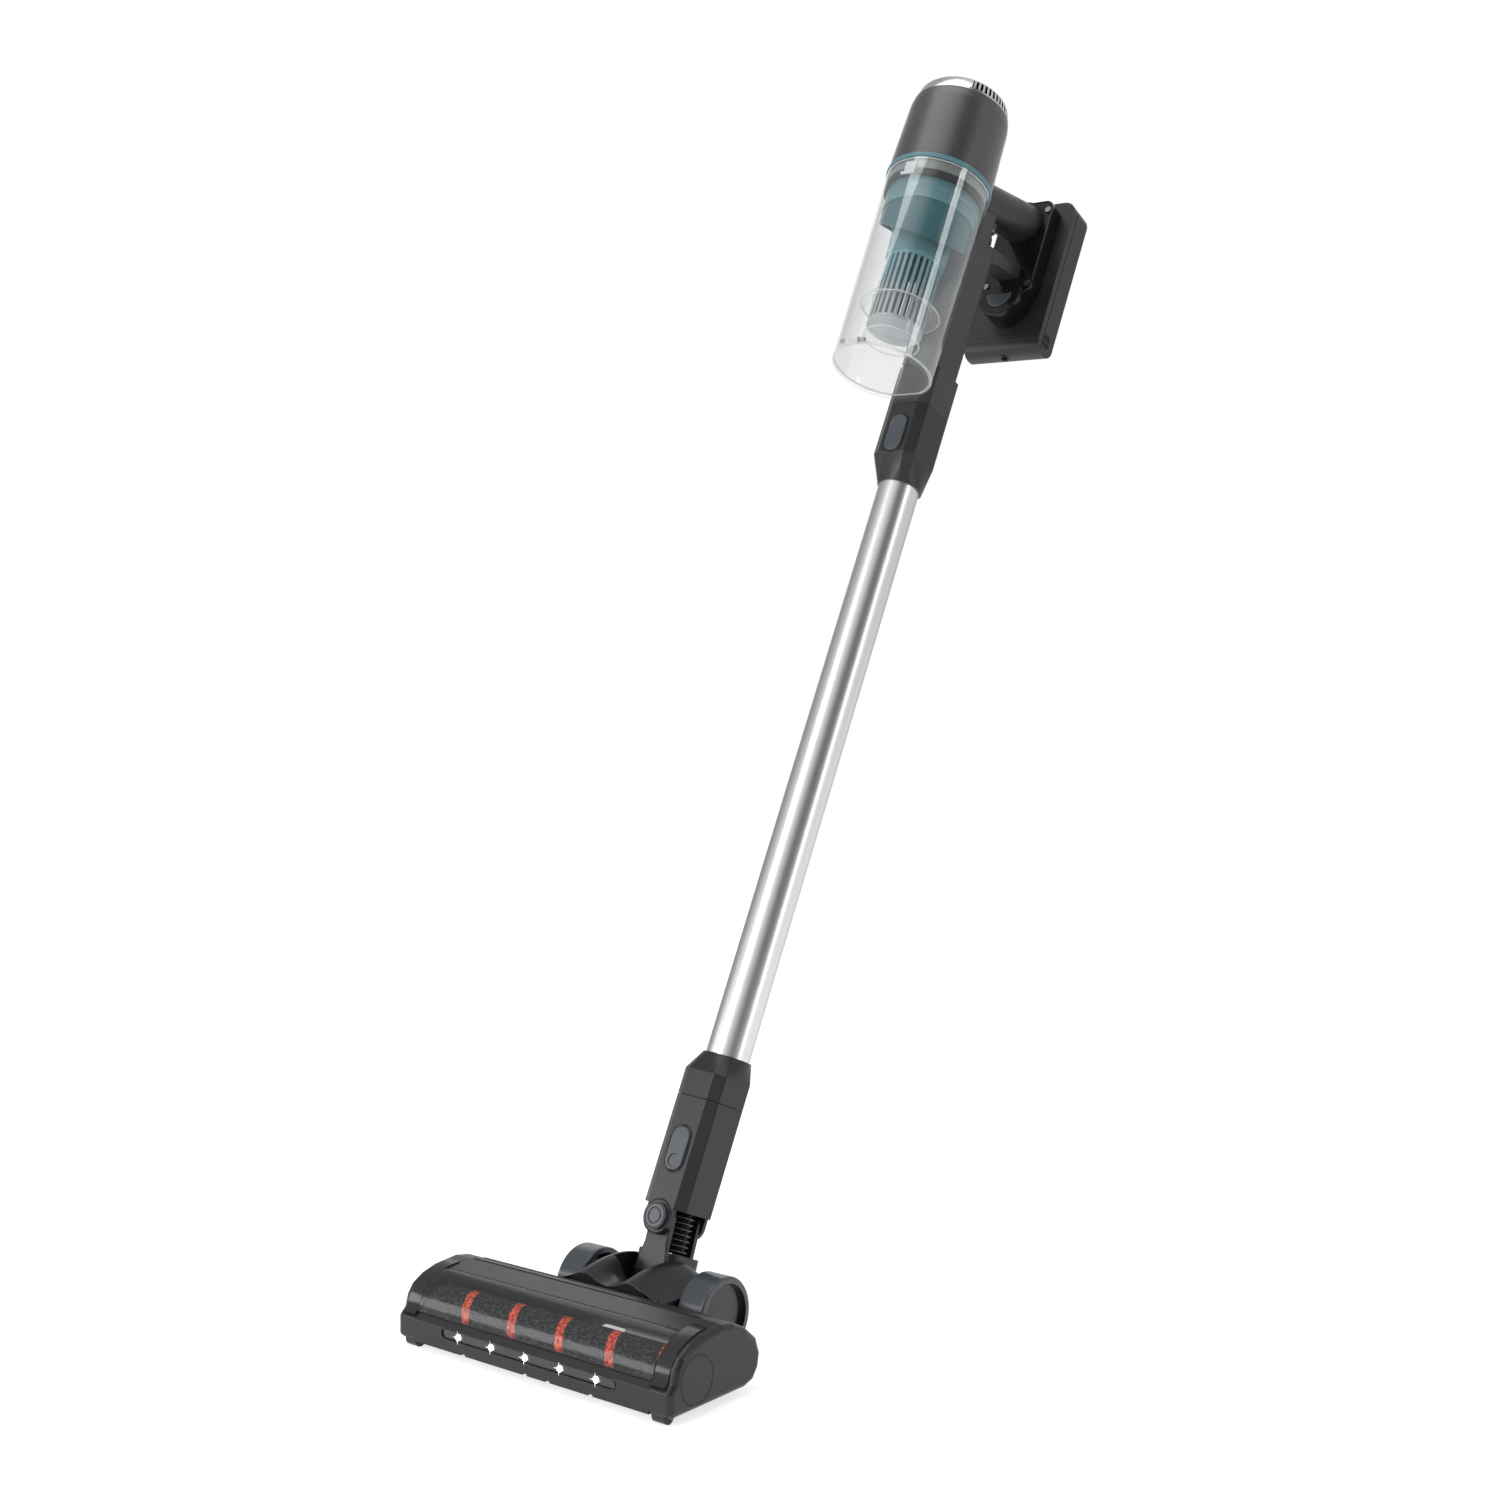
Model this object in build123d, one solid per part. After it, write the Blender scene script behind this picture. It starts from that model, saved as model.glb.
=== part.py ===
"""Cordless stick vacuum cleaner: hand unit, dust cup, battery, wand and powered floor head.

The floor head stands on z = 0 with its front towards -Y. The stick leans back and a little to
+X. Stick parts are drawn in the stick's own frame (x right, y back, z up along the tube, origin
on the neck's swivel axis) and are placed by STICK at the end. Sizes are in millimetres.
"""
from build123d import *
import math
import os

os.makedirs("parts", exist_ok=True)

# ---- driving dimensions -------------------------------------------------------------------
LEAN = 21.7            # degrees that the stick leans back
SIDE = 4.4             # degrees that the stick leans to +X
SWIVEL_Y = 115.0       # swivel axis of the neck, in the head's frame
SWIVEL_Z = 77.6
NECK_LENGTH = 49.0     # from the swivel axis down to the pitch hinge
GAP = 0.4              # clearance between pieces that move past each other
PIN_FIT = 0.05         # radial clearance of a hinge pin
WALL = 2.4

TUBE_R = 17.5
TUBE_WALL = 1.3
TUBE_TOP = 650.0
TUBE_FOOT = 106.0
COLLAR_HALF = 21.0     # half width of both collars
COLLAR_FRONT = -25.5
COLLAR_BACK = 20.5
COLLAR_FOOT = 622.0    # lower rim of the upper collar
COLLAR_TAPER = 645.0
INLET_SEAM = 690.0     # wand leaves the hand unit here
NECK_SEAM = 92.0       # neck leaves the wand here
CAP_SHOULDER = 112.0
CAP_TOP = 128.0
SPIGOT_R = 13.6
SPIGOT_LENGTH = 22.0
PILL_W = 17.0
PILL_H = 34.0
WAND_PILL_Z = 662.0
NECK_PILL_Z = 51.6
PILL_FRONT = -27.0
PILL_BACK = -22.4
BUTTON_TRAVEL = 2.4

CUP_Y = -66.0          # axis of the dust cup and the motor
CUP_R_FOOT = 42.5
CUP_R_TOP = 45.0
CUP_FOOT = 697.0
CUP_TOP = 872.2
CUP_BACK = -26.3       # flat back of the cup, against the spine
CUP_WALL = 2.0
LID_THICK = 3.0
LID_PIN_R = 1.3
RING_FOOT = 872.6
RING_TOP = 876.6
HOUSING_R = 45.0
HOUSING_R_TOP = 43.2
HOUSING_SHOULDER = 938.0
EXHAUST_FOOT = 945.0
EXHAUST_TOP = 958.0
EXHAUST_R = 41.5
EXHAUST_R_TOP = 36.5
EXHAUST_SLOTS = 50
LOUVRE_R = 23.8
LOUVRE_SLOTS = 28

GRIP_R = 18.3
GRIP_TILT = 19.5       # the grip rises towards the battery
GRIP_Y = 40.0
GRIP_Z = 917.0
GRIP_SEAM = -14.0      # along the grip, from (GRIP_Y, GRIP_Z)
GRIP_END = 27.5
TRIGGER_Y = 11.5
TRIGGER_Z = 883.0
SPINE_HALF = 14.5
SPINE_BACK = 18.0
HOLDER_FRONT = 63.0
HOLDER_BACK = 78.2
HOLDER_HALF = 26.0
BATTERY_FRONT = 78.6
BATTERY_BACK = 104.0
BATTERY_HALF = 39.0
BATTERY_FOOT = 803.0
BATTERY_TOP = 956.0
JACK_R = 2.8
JACK_DEPTH = 9.0
JACK_Y = 90.6
CELL_R = 9.2
CELL_LENGTH = 65.0
CELLS = 7

HEAD_HALF = 132.5
CAP_INNER = 114.0      # inner face of the end caps
ROLLER_Y = -19.5
ROLLER_Z = 22.5
ROLLER_R = 18.8
CORE_R = 14.5
LED_PITCH = 33.5
LED_COUNT = 5
LED_Z = 18.0
BUMPER_Y = -46.0
WHEEL_R = 28.0
WHEEL_Y = 84.0
WHEEL_IN = 48.5
WHEEL_OUT = 72.0
CASTOR_X = 120.0
CASTOR_Y = -39.0
CASTOR_R = 5.0
ARM_IN = 20.5          # inner face of the two arms that carry the pitch hinge
ARM_OUT = 46.5

UP = (Align.CENTER, Align.CENTER, Align.MIN)
NECK = Pos(0, SWIVEL_Y, SWIVEL_Z) * Rot(X=-LEAN)
STICK = NECK * Rot(Y=SIDE)
HINGE_Y = SWIVEL_Y - NECK_LENGTH * math.sin(math.radians(LEAN))
HINGE_Z = SWIVEL_Z - NECK_LENGTH * math.cos(math.radians(LEAN))
CUP = Pos(0, CUP_Y, 0)
GRIP = Pos(0, GRIP_Y, GRIP_Z) * Rot(X=-(90 - GRIP_TILT))


# ---- small helpers ------------------------------------------------------------------------
def block(x, y, z):
    """A box from three (low, high) pairs."""
    centre = [(a + b) / 2 for a, b in (x, y, z)]
    return Pos(*centre) * Box(x[1] - x[0], y[1] - y[0], z[1] - z[0])


def post(radius, low, high):
    """An upright cylinder about Z."""
    return Pos(0, 0, low) * Cylinder(radius, high - low, align=UP)


def tube(outer, inner, low, high):
    return post(outer, low, high) - post(inner, low, high)


def cone(r_low, r_high, low, high):
    return Pos(0, 0, low) * Cone(r_low, r_high, high - low, align=UP)


def rod(radius, start, end, y, z):
    """A cylinder along X."""
    return Pos(start, y, z) * Rot(Y=90) * Cylinder(radius, end - start, align=UP)


def bore(radius, start, end, x, z):
    """A cylinder along Y."""
    return Pos(x, start, z) * Rot(X=-90) * Cylinder(radius, end - start, align=UP)


def lathe(points):
    """A solid turned about Z from (radius, height) points."""
    return revolve(Plane.XZ * make_face(Polyline(*points, close=True)), axis=Axis.Z)


def plank(points, low, high):
    """An outline of (y, z) points carried along X."""
    return extrude(Plane.YZ.offset(low) * make_face(Polyline(*points, close=True)), high - low)


def both_sides(shape):
    return shape + mirror(shape, about=Plane.YZ)


def pill(width, height, z, front, back):
    """An upright pill whose axis runs along Y."""
    outline = Plane.XZ.offset(-front) * Pos(0, z) * SlotOverall(height, width, rotation=90)
    return extrude(outline, front - back)


def collar_face(z, grow=0.0):
    """The collars' section: flat front with two facets, and a rounded back."""
    half = COLLAR_HALF + grow
    front = COLLAR_FRONT - grow
    back = COLLAR_BACK + grow
    outline = Polyline(
        (-half, front + 5.5), (-12.5, front), (12.5, front), (half, front + 5.5),
        (half, back - 10), (half - 9, back), (9 - half, back), (-half, back - 10), close=True)
    return Pos(0, 0, z) * fillet(make_face(outline).vertices(), 1.8)


def collar_prism(low, high, grow=0.0):
    return extrude(collar_face(low, grow), high - low)


# ---- motor and exhaust --------------------------------------------------------------------
def housing_outline(inset=0.0):
    return [(HOUSING_R - inset, RING_TOP), (HOUSING_R_TOP - inset, HOUSING_SHOULDER),
            (EXHAUST_R + 0.6 - inset, EXHAUST_FOOT)]


def motor_housing():
    outer = housing_outline()
    inner = housing_outline(WALL)
    shell = lathe(outer + inner[::-1])
    bulkhead = tube(HOUSING_R - WALL - 0.3, 18.0, 893, 895.5)
    window = GRIP * post(12.0, -90, -20)
    return CUP * (shell + bulkhead) - window


def exhaust_ring():
    ring = lathe([(EXHAUST_R, EXHAUST_FOOT), (EXHAUST_R - 1.4, 953), (EXHAUST_R_TOP, EXHAUST_TOP),
                  (EXHAUST_R_TOP - 2.4, EXHAUST_TOP), (EXHAUST_R - 4.0, 952),
                  (EXHAUST_R - 3.0, EXHAUST_FOOT)])
    first, last = 63.0, 297.0
    step = (last - first) / (EXHAUST_SLOTS - 1)
    slot = block((-0.8, 0.8), (-60, -20), (EXHAUST_FOOT + 2.0, EXHAUST_TOP - 2.2))
    slots = [Rot(Z=first + i * step) * slot for i in range(EXHAUST_SLOTS)]
    return CUP * (ring - slots)


def top_cap():
    dome = lathe([(0, EXHAUST_TOP - 4), (EXHAUST_R_TOP - 3, EXHAUST_TOP - 4),
                  (EXHAUST_R_TOP - 3, EXHAUST_TOP), (24, EXHAUST_TOP + 1.6), (0, EXHAUST_TOP + 2)])
    return CUP * dome


def accent_ring():
    return CUP * lathe([(HOUSING_R + 0.9, RING_FOOT + 0.6), (HOUSING_R + 0.9, RING_TOP - 0.6),
                        (HOUSING_R, RING_TOP), (38.0, RING_TOP), (38.0, RING_FOOT),
                        (HOUSING_R + 0.3, RING_FOOT)])


def motor_can():
    can = tube(23.0, 21.0, 895.5, 925) + tube(23.0, 4.2, 925, 927)
    stator = tube(21.0, 13.5, 902, 922)
    return CUP * (can + stator)


def motor_rotor():
    shaft = post(2.5, 882, 930)
    magnet = post(12.6, 903, 921)
    hub = cone(8.0, 3.0, 884, 893)
    blades = [Rot(Z=i * 40) * block((4, 15.5), (-0.6, 0.6), (884, 892)) for i in range(9)]
    return CUP * (shaft + magnet + hub + blades)


def pre_filter():
    return CUP * tube(36.0, 17.5, RING_TOP + 0.3, 883)


def exhaust_filter():
    pleats = 40
    ring = tube(37.5, 26.0, 930, 944)
    groove = block((-0.7, 0.7), (34.5, 40), (931, 943))
    grooves = [Rot(Z=i * 360 / pleats) * groove for i in range(pleats)]
    return CUP * (ring - grooves)


# ---- spine, grip and battery holder -------------------------------------------------------
def housing_mass():
    """The motor housing as a full solid, for trimming what meets it."""
    return CUP * lathe([(0, RING_FOOT)] + [(HOUSING_R + 0.9, RING_FOOT)]
                       + [(HOUSING_R + 0.9, RING_TOP)] + housing_outline() + [(0, EXHAUST_FOOT)])


def spine():
    foot = collar_prism(INLET_SEAM + GAP, 727) - block((-30, 30), (-60, -25.8), (600, 800))
    rise = block((-SPINE_HALF, SPINE_HALF), (-25.8, SPINE_BACK), (727, 862))
    rise = fillet(rise.edges().filter_by(Axis.Z).group_by(Axis.Y)[-1], 6)
    neck = block((-SPINE_HALF, SPINE_HALF), (-25.8, 3.0), (862, 893))
    body = foot + rise + neck
    duct = post(SPIGOT_R + GAP, 600, 716)
    channel = block((-11, 11), (-20, 12), (716, 856))
    port = block((-11, 11), (-30, -19), (838, 856))
    return body - duct - channel - port - housing_mass() - GRIP * post(GRIP_R, -90, 60)


def grip_root():
    body = GRIP * tube(GRIP_R, GRIP_R - 2.6, -72, GRIP_SEAM)
    lugs = both_sides(block((6.0, 8.6), (TRIGGER_Y - 3, TRIGGER_Y + 3), (TRIGGER_Z - 3, 896)))
    pin_hole = rod(1.5, -12, 12, TRIGGER_Y, TRIGGER_Z)
    arm = body + (lugs - GRIP * post(GRIP_R - 1.0, -72, GRIP_SEAM))
    return arm - housing_mass() - pin_hole


def grip_sleeve():
    sleeve = GRIP * tube(GRIP_R, GRIP_R - 2.6, GRIP_SEAM, GRIP_END)
    flange = GRIP * tube(GRIP_R + 2.2, GRIP_R - 2.6, GRIP_END - 3, GRIP_END)
    return sleeve + flange - block((-40, 40), (HOLDER_FRONT, 120), (850, 1000))


def trigger_pin():
    return rod(1.5, -8.6, 8.6, TRIGGER_Y, TRIGGER_Z)


def trigger():
    eye = rod(3.0, -5.6, 5.6, TRIGGER_Y, TRIGGER_Z)
    blade = plank([(-2.2, -0.5), (2.2, -0.5), (5.6, -5), (6.6, -10.4), (3.6, -11.2), (1.0, -6)],
                  -5.6, 5.6)
    blade = Pos(0, TRIGGER_Y, TRIGGER_Z) * blade
    return eye + blade - rod(1.5 + PIN_FIT, -9, 9, TRIGGER_Y, TRIGGER_Z)


def brace():
    return plank([(SPINE_BACK, 859), (SPINE_BACK, 853), (28, 858.5), (HOLDER_FRONT, 867.5),
                  (HOLDER_FRONT, 878.5), (3.0, 865), (3.0, 862), (SPINE_BACK, 862)], -10.5, 10.5)


def battery_holder():
    outline = fillet(Rectangle(2 * HOLDER_HALF, 96).vertices(), 9)
    plate = extrude(Plane.XZ.offset(-HOLDER_BACK) * Pos(0, 900) * outline,
                    HOLDER_BACK - HOLDER_FRONT)
    cavity = block((-HOLDER_HALF + 3, HOLDER_HALF - 3), (HOLDER_FRONT + 3, HOLDER_BACK - 2.5),
                   (862, 938))
    drum = bore(21.0, 57.0, HOLDER_BACK, 0, 848)
    pod = drum - block((-30, 30), (40, 90), (854, 900))
    pocket = moon(GAP, 50, 64.5)
    board_slot = bore(9.0, HOLDER_FRONT - 1, HOLDER_FRONT + 3.5, 0, GRIP_Z + 8.3)
    return plate + pod - cavity - pocket - board_slot - screw_bodies(HOLDER_FRONT)


def moon(grow, front, back):
    """The half-moon outline of the battery button."""
    disc = bore(12.5 + grow, front, back, 0, 848)
    return disc - block((-40, 40), (front - 1, back + 1), (848.5 + grow, 900))


def battery_button():
    return fillet(moon(0.0, 55.4, 61.5).edges().group_by(Axis.Y)[0], 1.0)


def circuit_board():
    board = block((-20, 20), (70.0, 71.6), (866, 934))
    chips = [block((-14 + i * 11, -6 + i * 11), (68.0, 70.0), (880, 888)) for i in range(3)]
    return board + chips


def screw_bodies(front):
    spots = [(x, z) for x in (-21.5, 21.5) for z in (862.0, 938.0)]
    return [bore(1.5, front, front + 2.8, x, z) for x, z in spots]


def holder_screws():
    spots = [(x, z) for x in (-21.5, 21.5) for z in (862.0, 938.0)]
    heads = [bore(2.8, HOLDER_FRONT - 1.4, HOLDER_FRONT, x, z) for x, z in spots]
    return Compound(children=[h + s for h, s in zip(heads, screw_bodies(HOLDER_FRONT))])


# ---- battery ------------------------------------------------------------------------------
def battery_blank(inset):
    """The battery pack's outer form, or its inside when inset."""
    front, back = BATTERY_FRONT + inset, BATTERY_BACK - inset
    half = BATTERY_HALF - inset
    foot, top = BATTERY_FOOT + inset, BATTERY_TOP - inset
    slab = block((-half, half), (front, back), (foot, top))
    slab = fillet(slab.edges().filter_by(Axis.Y).group_by(Axis.Z)[-1], 14 - inset)
    return fillet(slab.edges().filter_by(Axis.X).group_by(Axis.Z)[0], 11 - inset)


def battery_case():
    shell = battery_blank(0.0) - battery_blank(WALL)
    boss = Pos(0, JACK_Y, 0) * post(6.0, BATTERY_FOOT + 1, BATTERY_FOOT + JACK_DEPTH + 2)
    jack = Pos(0, JACK_Y, 0) * post(JACK_R, BATTERY_FOOT - 2, BATTERY_FOOT + JACK_DEPTH)
    return shell + boss - jack


def cell_heights():
    pitch = 2 * CELL_R + 0.3
    first = BATTERY_FOOT + 14.5 + CELL_R
    return [first + i * pitch for i in range(CELLS)]


def battery_cells():
    middle = (BATTERY_FRONT + BATTERY_BACK) / 2
    half = CELL_LENGTH / 2
    return Compound(children=[rod(CELL_R, -half, half, middle, z) for z in cell_heights()])


def battery_contacts():
    middle = (BATTERY_FRONT + BATTERY_BACK) / 2
    strips = []
    for z in cell_heights():
        for x in (-CELL_LENGTH / 2 - 0.6, CELL_LENGTH / 2):
            strips.append(block((x, x + 0.6), (middle - 4, middle + 4), (z - 8.5, z + 8.5)))
    return Compound(children=strips)


# ---- dust cup -----------------------------------------------------------------------------
def cup_form(inset):
    solid = CUP * cone(CUP_R_FOOT - inset, CUP_R_TOP - inset, CUP_FOOT, CUP_TOP)
    return solid - block((-60, 60), (CUP_BACK - inset, 60), (600, 1000))


def dust_cup():
    wall = cup_form(0.0) - cup_form(CUP_WALL)
    port = block((-10.5, 10.5), (-40, -20), (838.5, 855.5))
    knuckle = rod(2.6, -6, 6, LID_PIN_Y, LID_PIN_Z)
    web = block((-6, 6), (LID_PIN_Y - 1, CUP_Y - CUP_R_FOOT + 0.8), (CUP_FOOT, CUP_FOOT + 5))
    knuckle = knuckle + web - rod(LID_PIN_R, -8, 8, LID_PIN_Y, LID_PIN_Z)
    knuckle = knuckle - block((-8, 8), (-130, -90), (CUP_FOOT - 9, CUP_FOOT - 2.0))
    return wall + knuckle - port


LID_PIN_Y = CUP_Y - CUP_R_FOOT - 2.4
LID_PIN_Z = CUP_FOOT + 0.6


def cup_ring():
    ring = CUP * tube(CUP_R_TOP - CUP_WALL - 0.7, 38.5, 861, CUP_TOP - 0.2)
    return ring - block((-60, 60), (CUP_BACK - CUP_WALL, 60), (600, 1000))


def cup_seal():
    ring = CUP * tube(CUP_R_TOP - CUP_WALL - 0.9, 37.0, 857.5, 861)
    return ring - block((-60, 60), (CUP_BACK - CUP_WALL, 60), (600, 1000))


def cyclone_body():
    body = CUP * lathe([(37.0, 866), (37.0, 857.5), (40.5, 857.5), (40.5, 850), (39.6, 848),
                        (39.6, 838), (28.5, 838), (26.8, 835), (25.2, 798), (LOUVRE_R, 798),
                        (21.6, 798), (23.0, 836), (26.0, 840.5), (36.6, 840.5), (36.6, 855),
                        (34.5, 857.5), (34.5, 866)])
    port = block((-10.5, 10.5), (-40, -20), (838.5, 855.5))
    return body - block((-60, 60), (CUP_BACK - CUP_WALL, 60), (600, 1000)) - port


def baffle():
    """A scoop round the cyclone whose lower rim falls towards the front left."""
    shell = CUP * tube(38.8, 37.2, 801, 838)
    cutter = Pos(0, CUP_Y, 822) * Rot(Z=-40) * Rot(Y=27) * block((-90, 90), (-90, 90), (-120, 0))
    scoop = shell - cutter
    return scoop - block((-60, 60), (-40, 60), (600, 1000))


def louvre_shroud():
    shell = CUP * tube(LOUVRE_R, LOUVRE_R - 2.2, 734, 798)
    slot = block((-1.3, 1.3), (-40, -10), (737, 795))
    slots = [CUP * Rot(Z=i * 360 / LOUVRE_SLOTS) * slot for i in range(LOUVRE_SLOTS)]
    floor = CUP * post(LOUVRE_R - 2.2, 734, 736)
    return shell - slots + floor


def skirt_disc():
    return CUP * lathe([(25.6, 753), (32.5, 753), (33.5, 751.4), (34.2, 752), (33.0, 755),
                        (25.6, 755.4)])


def inner_cup():
    wall = tube(25.5, 24.2, 724, 757)
    floor = cone(23.0, 25.5, 721, 724)
    return CUP * (wall + floor)


def lid_pin():
    return rod(LID_PIN_R, -12, 12, LID_PIN_Y, LID_PIN_Z)


def cup_lid():
    low, high = CUP_FOOT - GAP - LID_THICK, CUP_FOOT - GAP
    disc = CUP * lathe([(0, low), (CUP_R_FOOT - 1.2, low), (CUP_R_FOOT, low + 1.2),
                        (CUP_R_FOOT, high), (CUP_R_FOOT - 4, high), (CUP_R_FOOT - 5, high - 1.2),
                        (0, high - 1.2)])
    disc = disc - block((-60, 60), (CUP_BACK, 60), (600, 1000))
    ears = both_sides(rod(2.6, 6.4, 12, LID_PIN_Y, LID_PIN_Z))
    arms = both_sides(block((6.4, 12), (LID_PIN_Y - 1.2, LID_PIN_Y + 6), (low, LID_PIN_Z)))
    arms = arms - CUP * post(CUP_R_FOOT + 0.5, high, high + 9)
    ears = ears - CUP * post(CUP_R_FOOT + 0.4, high, high + 9)
    return disc + arms + ears - rod(LID_PIN_R + PIN_FIT, -14, 14, LID_PIN_Y, LID_PIN_Z)


# ---- wand ---------------------------------------------------------------------------------
def pill_pocket(z):
    return pill(PILL_W + 2 * GAP, PILL_H + 2 * GAP, z, -40, PILL_BACK + BUTTON_TRAVEL + 0.3)


def wand_collar():
    body = collar_prism(COLLAR_TAPER, INLET_SEAM)
    foot = loft([Pos(0, 0.8, COLLAR_FOOT) * Circle(19.2), collar_face(COLLAR_TAPER)])
    spigot = tube(SPIGOT_R, SPIGOT_R - 2, INLET_SEAM - 2, INLET_SEAM + SPIGOT_LENGTH)
    socket = post(TUBE_R, COLLAR_FOOT - 2, TUBE_TOP)
    air = post(SPIGOT_R - 2, TUBE_TOP - 1, INLET_SEAM + 1)
    return body + foot - socket - air + spigot - pill_pocket(WAND_PILL_Z)


def wand_tube():
    return tube(TUBE_R, TUBE_R - TUBE_WALL, TUBE_FOOT, TUBE_TOP)


def tube_connector():
    body = collar_prism(NECK_SEAM, CAP_SHOULDER)
    chamfered = loft([collar_face(CAP_SHOULDER), Pos(0, 0, CAP_TOP) * Circle(19.4)])
    spigot = tube(SPIGOT_R, SPIGOT_R - 2, NECK_SEAM - SPIGOT_LENGTH, NECK_SEAM + 1)
    socket = post(TUBE_R, TUBE_FOOT, CAP_TOP + 1)
    air = post(SPIGOT_R - 2, NECK_SEAM - 1, TUBE_FOOT + 1)
    return body + chamfered - socket - air + spigot


def pill_button(z, dimple):
    """A push button; a round dimple marks the lower one."""
    body = pill(PILL_W, PILL_H, z, PILL_FRONT, PILL_BACK)
    body = fillet(body.edges().group_by(Axis.Y)[0], 1.0)
    if dimple:
        body = body - bore(5.0, PILL_FRONT - 1, PILL_FRONT + 0.8, 0, z - 9.5)
    return body


# ---- neck ---------------------------------------------------------------------------------
def neck_collar():
    body = collar_prism(8, NECK_SEAM - GAP)
    hollow = collar_prism(0, 40, grow=-3.4)
    socket = post(SPIGOT_R + GAP, 20, NECK_SEAM + 1)
    boss = bore(13.0, COLLAR_FRONT - 0.6, -20.6, 0, 0)
    back_boss = bore(11.0, 17.2, COLLAR_BACK, 0, 0)
    cheeks = block((-12.5, 12.5), (COLLAR_FRONT, -20.6), (0, 10))
    cheeks = cheeks + block((-11, 11), (17.2, COLLAR_BACK), (0, 10))
    body = body - hollow - socket + boss + back_boss + cheeks
    pin_hole = bore(4.0, -40, 40, 0, 0)
    return body - pin_hole - pill_pocket(NECK_PILL_Z)


def swivel_pins():
    front = bore(4.0, COLLAR_FRONT - 0.6, -15.6, 0, 0)
    disc = bore(10.0, COLLAR_FRONT - 3.4, COLLAR_FRONT - 0.6, 0, 0)
    disc = disc - (bore(6.2, -40, COLLAR_FRONT - 2.8, 0, 0) - bore(5.2, -41, -20, 0, 0))
    back = bore(4.0, 13.0, COLLAR_BACK, 0, 0)
    return Compound(children=[front + disc, back])


def neck_yoke():
    """Drawn in the neck's frame: z runs from the swivel axis down to the pitch hinge."""
    front_arm = bore(10.5, -20.2, -15.6, 0, 0) + block((-10.5, 10.5), (-20.2, -15.6), (-26, 0))
    back_arm = bore(9.0, 13.0, 16.8, 0, 0) + block((-9, 9), (13.0, 16.8), (-26, 0))
    body = extrude(Pos(0, 0, -24) * fillet(Rectangle(38, 37.4).vertices(), 9), -NECK_LENGTH + 24)
    body = Pos(0, -1.5, 0) * body
    barrel = rod(16.0, -19, 19, 0, -NECK_LENGTH)
    air = post(11.5, -60, -20) + bore(9.5, -30, 0, 0, -NECK_LENGTH + 4)
    pins = rod(4.0 + PIN_FIT, -30, 30, 0, -NECK_LENGTH)
    hole = bore(4.0 + PIN_FIT, -40, 40, 0, 0)
    return front_arm + back_arm + body + barrel - air - pins - hole


def bellows(radius, depth, wall, length, folds):
    """A corrugated hose about Z, from z = 0 to its length."""
    pitch = length / folds
    outer = [(radius - depth, 0)]
    for i in range(folds):
        outer += [(radius, (i + 0.5) * pitch), (radius - depth, (i + 1) * pitch)]
    inner = [(r - wall, z) for r, z in outer[::-1]]
    return lathe(outer + inner)


def swivel_hose():
    return Pos(0, -1.0, -23.4) * bellows(12.5, 1.8, 1.2, 33, 6)


def pitch_hose():
    return Pos(0, 66.4, 34) * Rot(X=-90) * bellows(12.0, 1.8, 1.2, 11.2, 3)


# ---- floor head ---------------------------------------------------------------------------
def cap_outline(inset=0.0):
    """Side view of the head: (y, z) corners of the end caps."""
    front = [(BUMPER_Y, 8), (BUMPER_Y, 22), (-41.0, 27), (-38.5, 36), (-33.5, 43), (-24, 48.5)]
    top = [(-12, 52), (8, 54), (20, 52), (34, 45)]
    back = [(45, 36), (49, 25), (47, 15), (41, 7.5), (32, 5), (-42, 5)]
    corners = Polyline(*(front + top + back), close=True)
    face = fillet(make_face(corners).vertices(), 2.2)
    return offset(face, -inset) if inset else face


def end_cap(side):
    body = extrude(Plane.YZ.offset(CAP_INNER) * cap_outline(), HEAD_HALF - CAP_INNER)
    outer_edges = body.edges().group_by(Axis.X)[-1]
    body = fillet(outer_edges, 5.0)
    cavity = extrude(Plane.YZ.offset(CAP_INNER) * cap_outline(3.0), HEAD_HALF - CAP_INNER - 4)
    ring = rod(16.6, HEAD_HALF - 0.6, HEAD_HALF + 1, ROLLER_Y, 25) \
        - rod(15.6, HEAD_HALF - 1, HEAD_HALF + 1, ROLLER_Y, 25)
    well = block((CASTOR_X - 6, CASTOR_X + 6), (CASTOR_Y - 6.4, CASTOR_Y + 6.4), (0, 11))
    axle_hole = rod(1.2, CASTOR_X - 9, CASTOR_X + 9, CASTOR_Y, CASTOR_R)
    hub = rod(7.0, HEAD_HALF - 9, HEAD_HALF - 4, ROLLER_Y, ROLLER_Z)
    body = body - cavity - ring + hub
    body = body + (block((CASTOR_X - 8, CASTOR_X + 8), (CASTOR_Y - 6.4, CASTOR_Y + 8.4), (3, 13))
                   & extrude(Plane.YZ.offset(CAP_INNER) * cap_outline(), 18))
    body = body - well - axle_hole
    body = body - rod(2.5, CAP_INNER, HEAD_HALF - 6, ROLLER_Y, ROLLER_Z)
    return mirror(body, about=Plane.YZ) if side < 0 else body


def between(points):
    return plank(points, -CAP_INNER, CAP_INNER)


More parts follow.
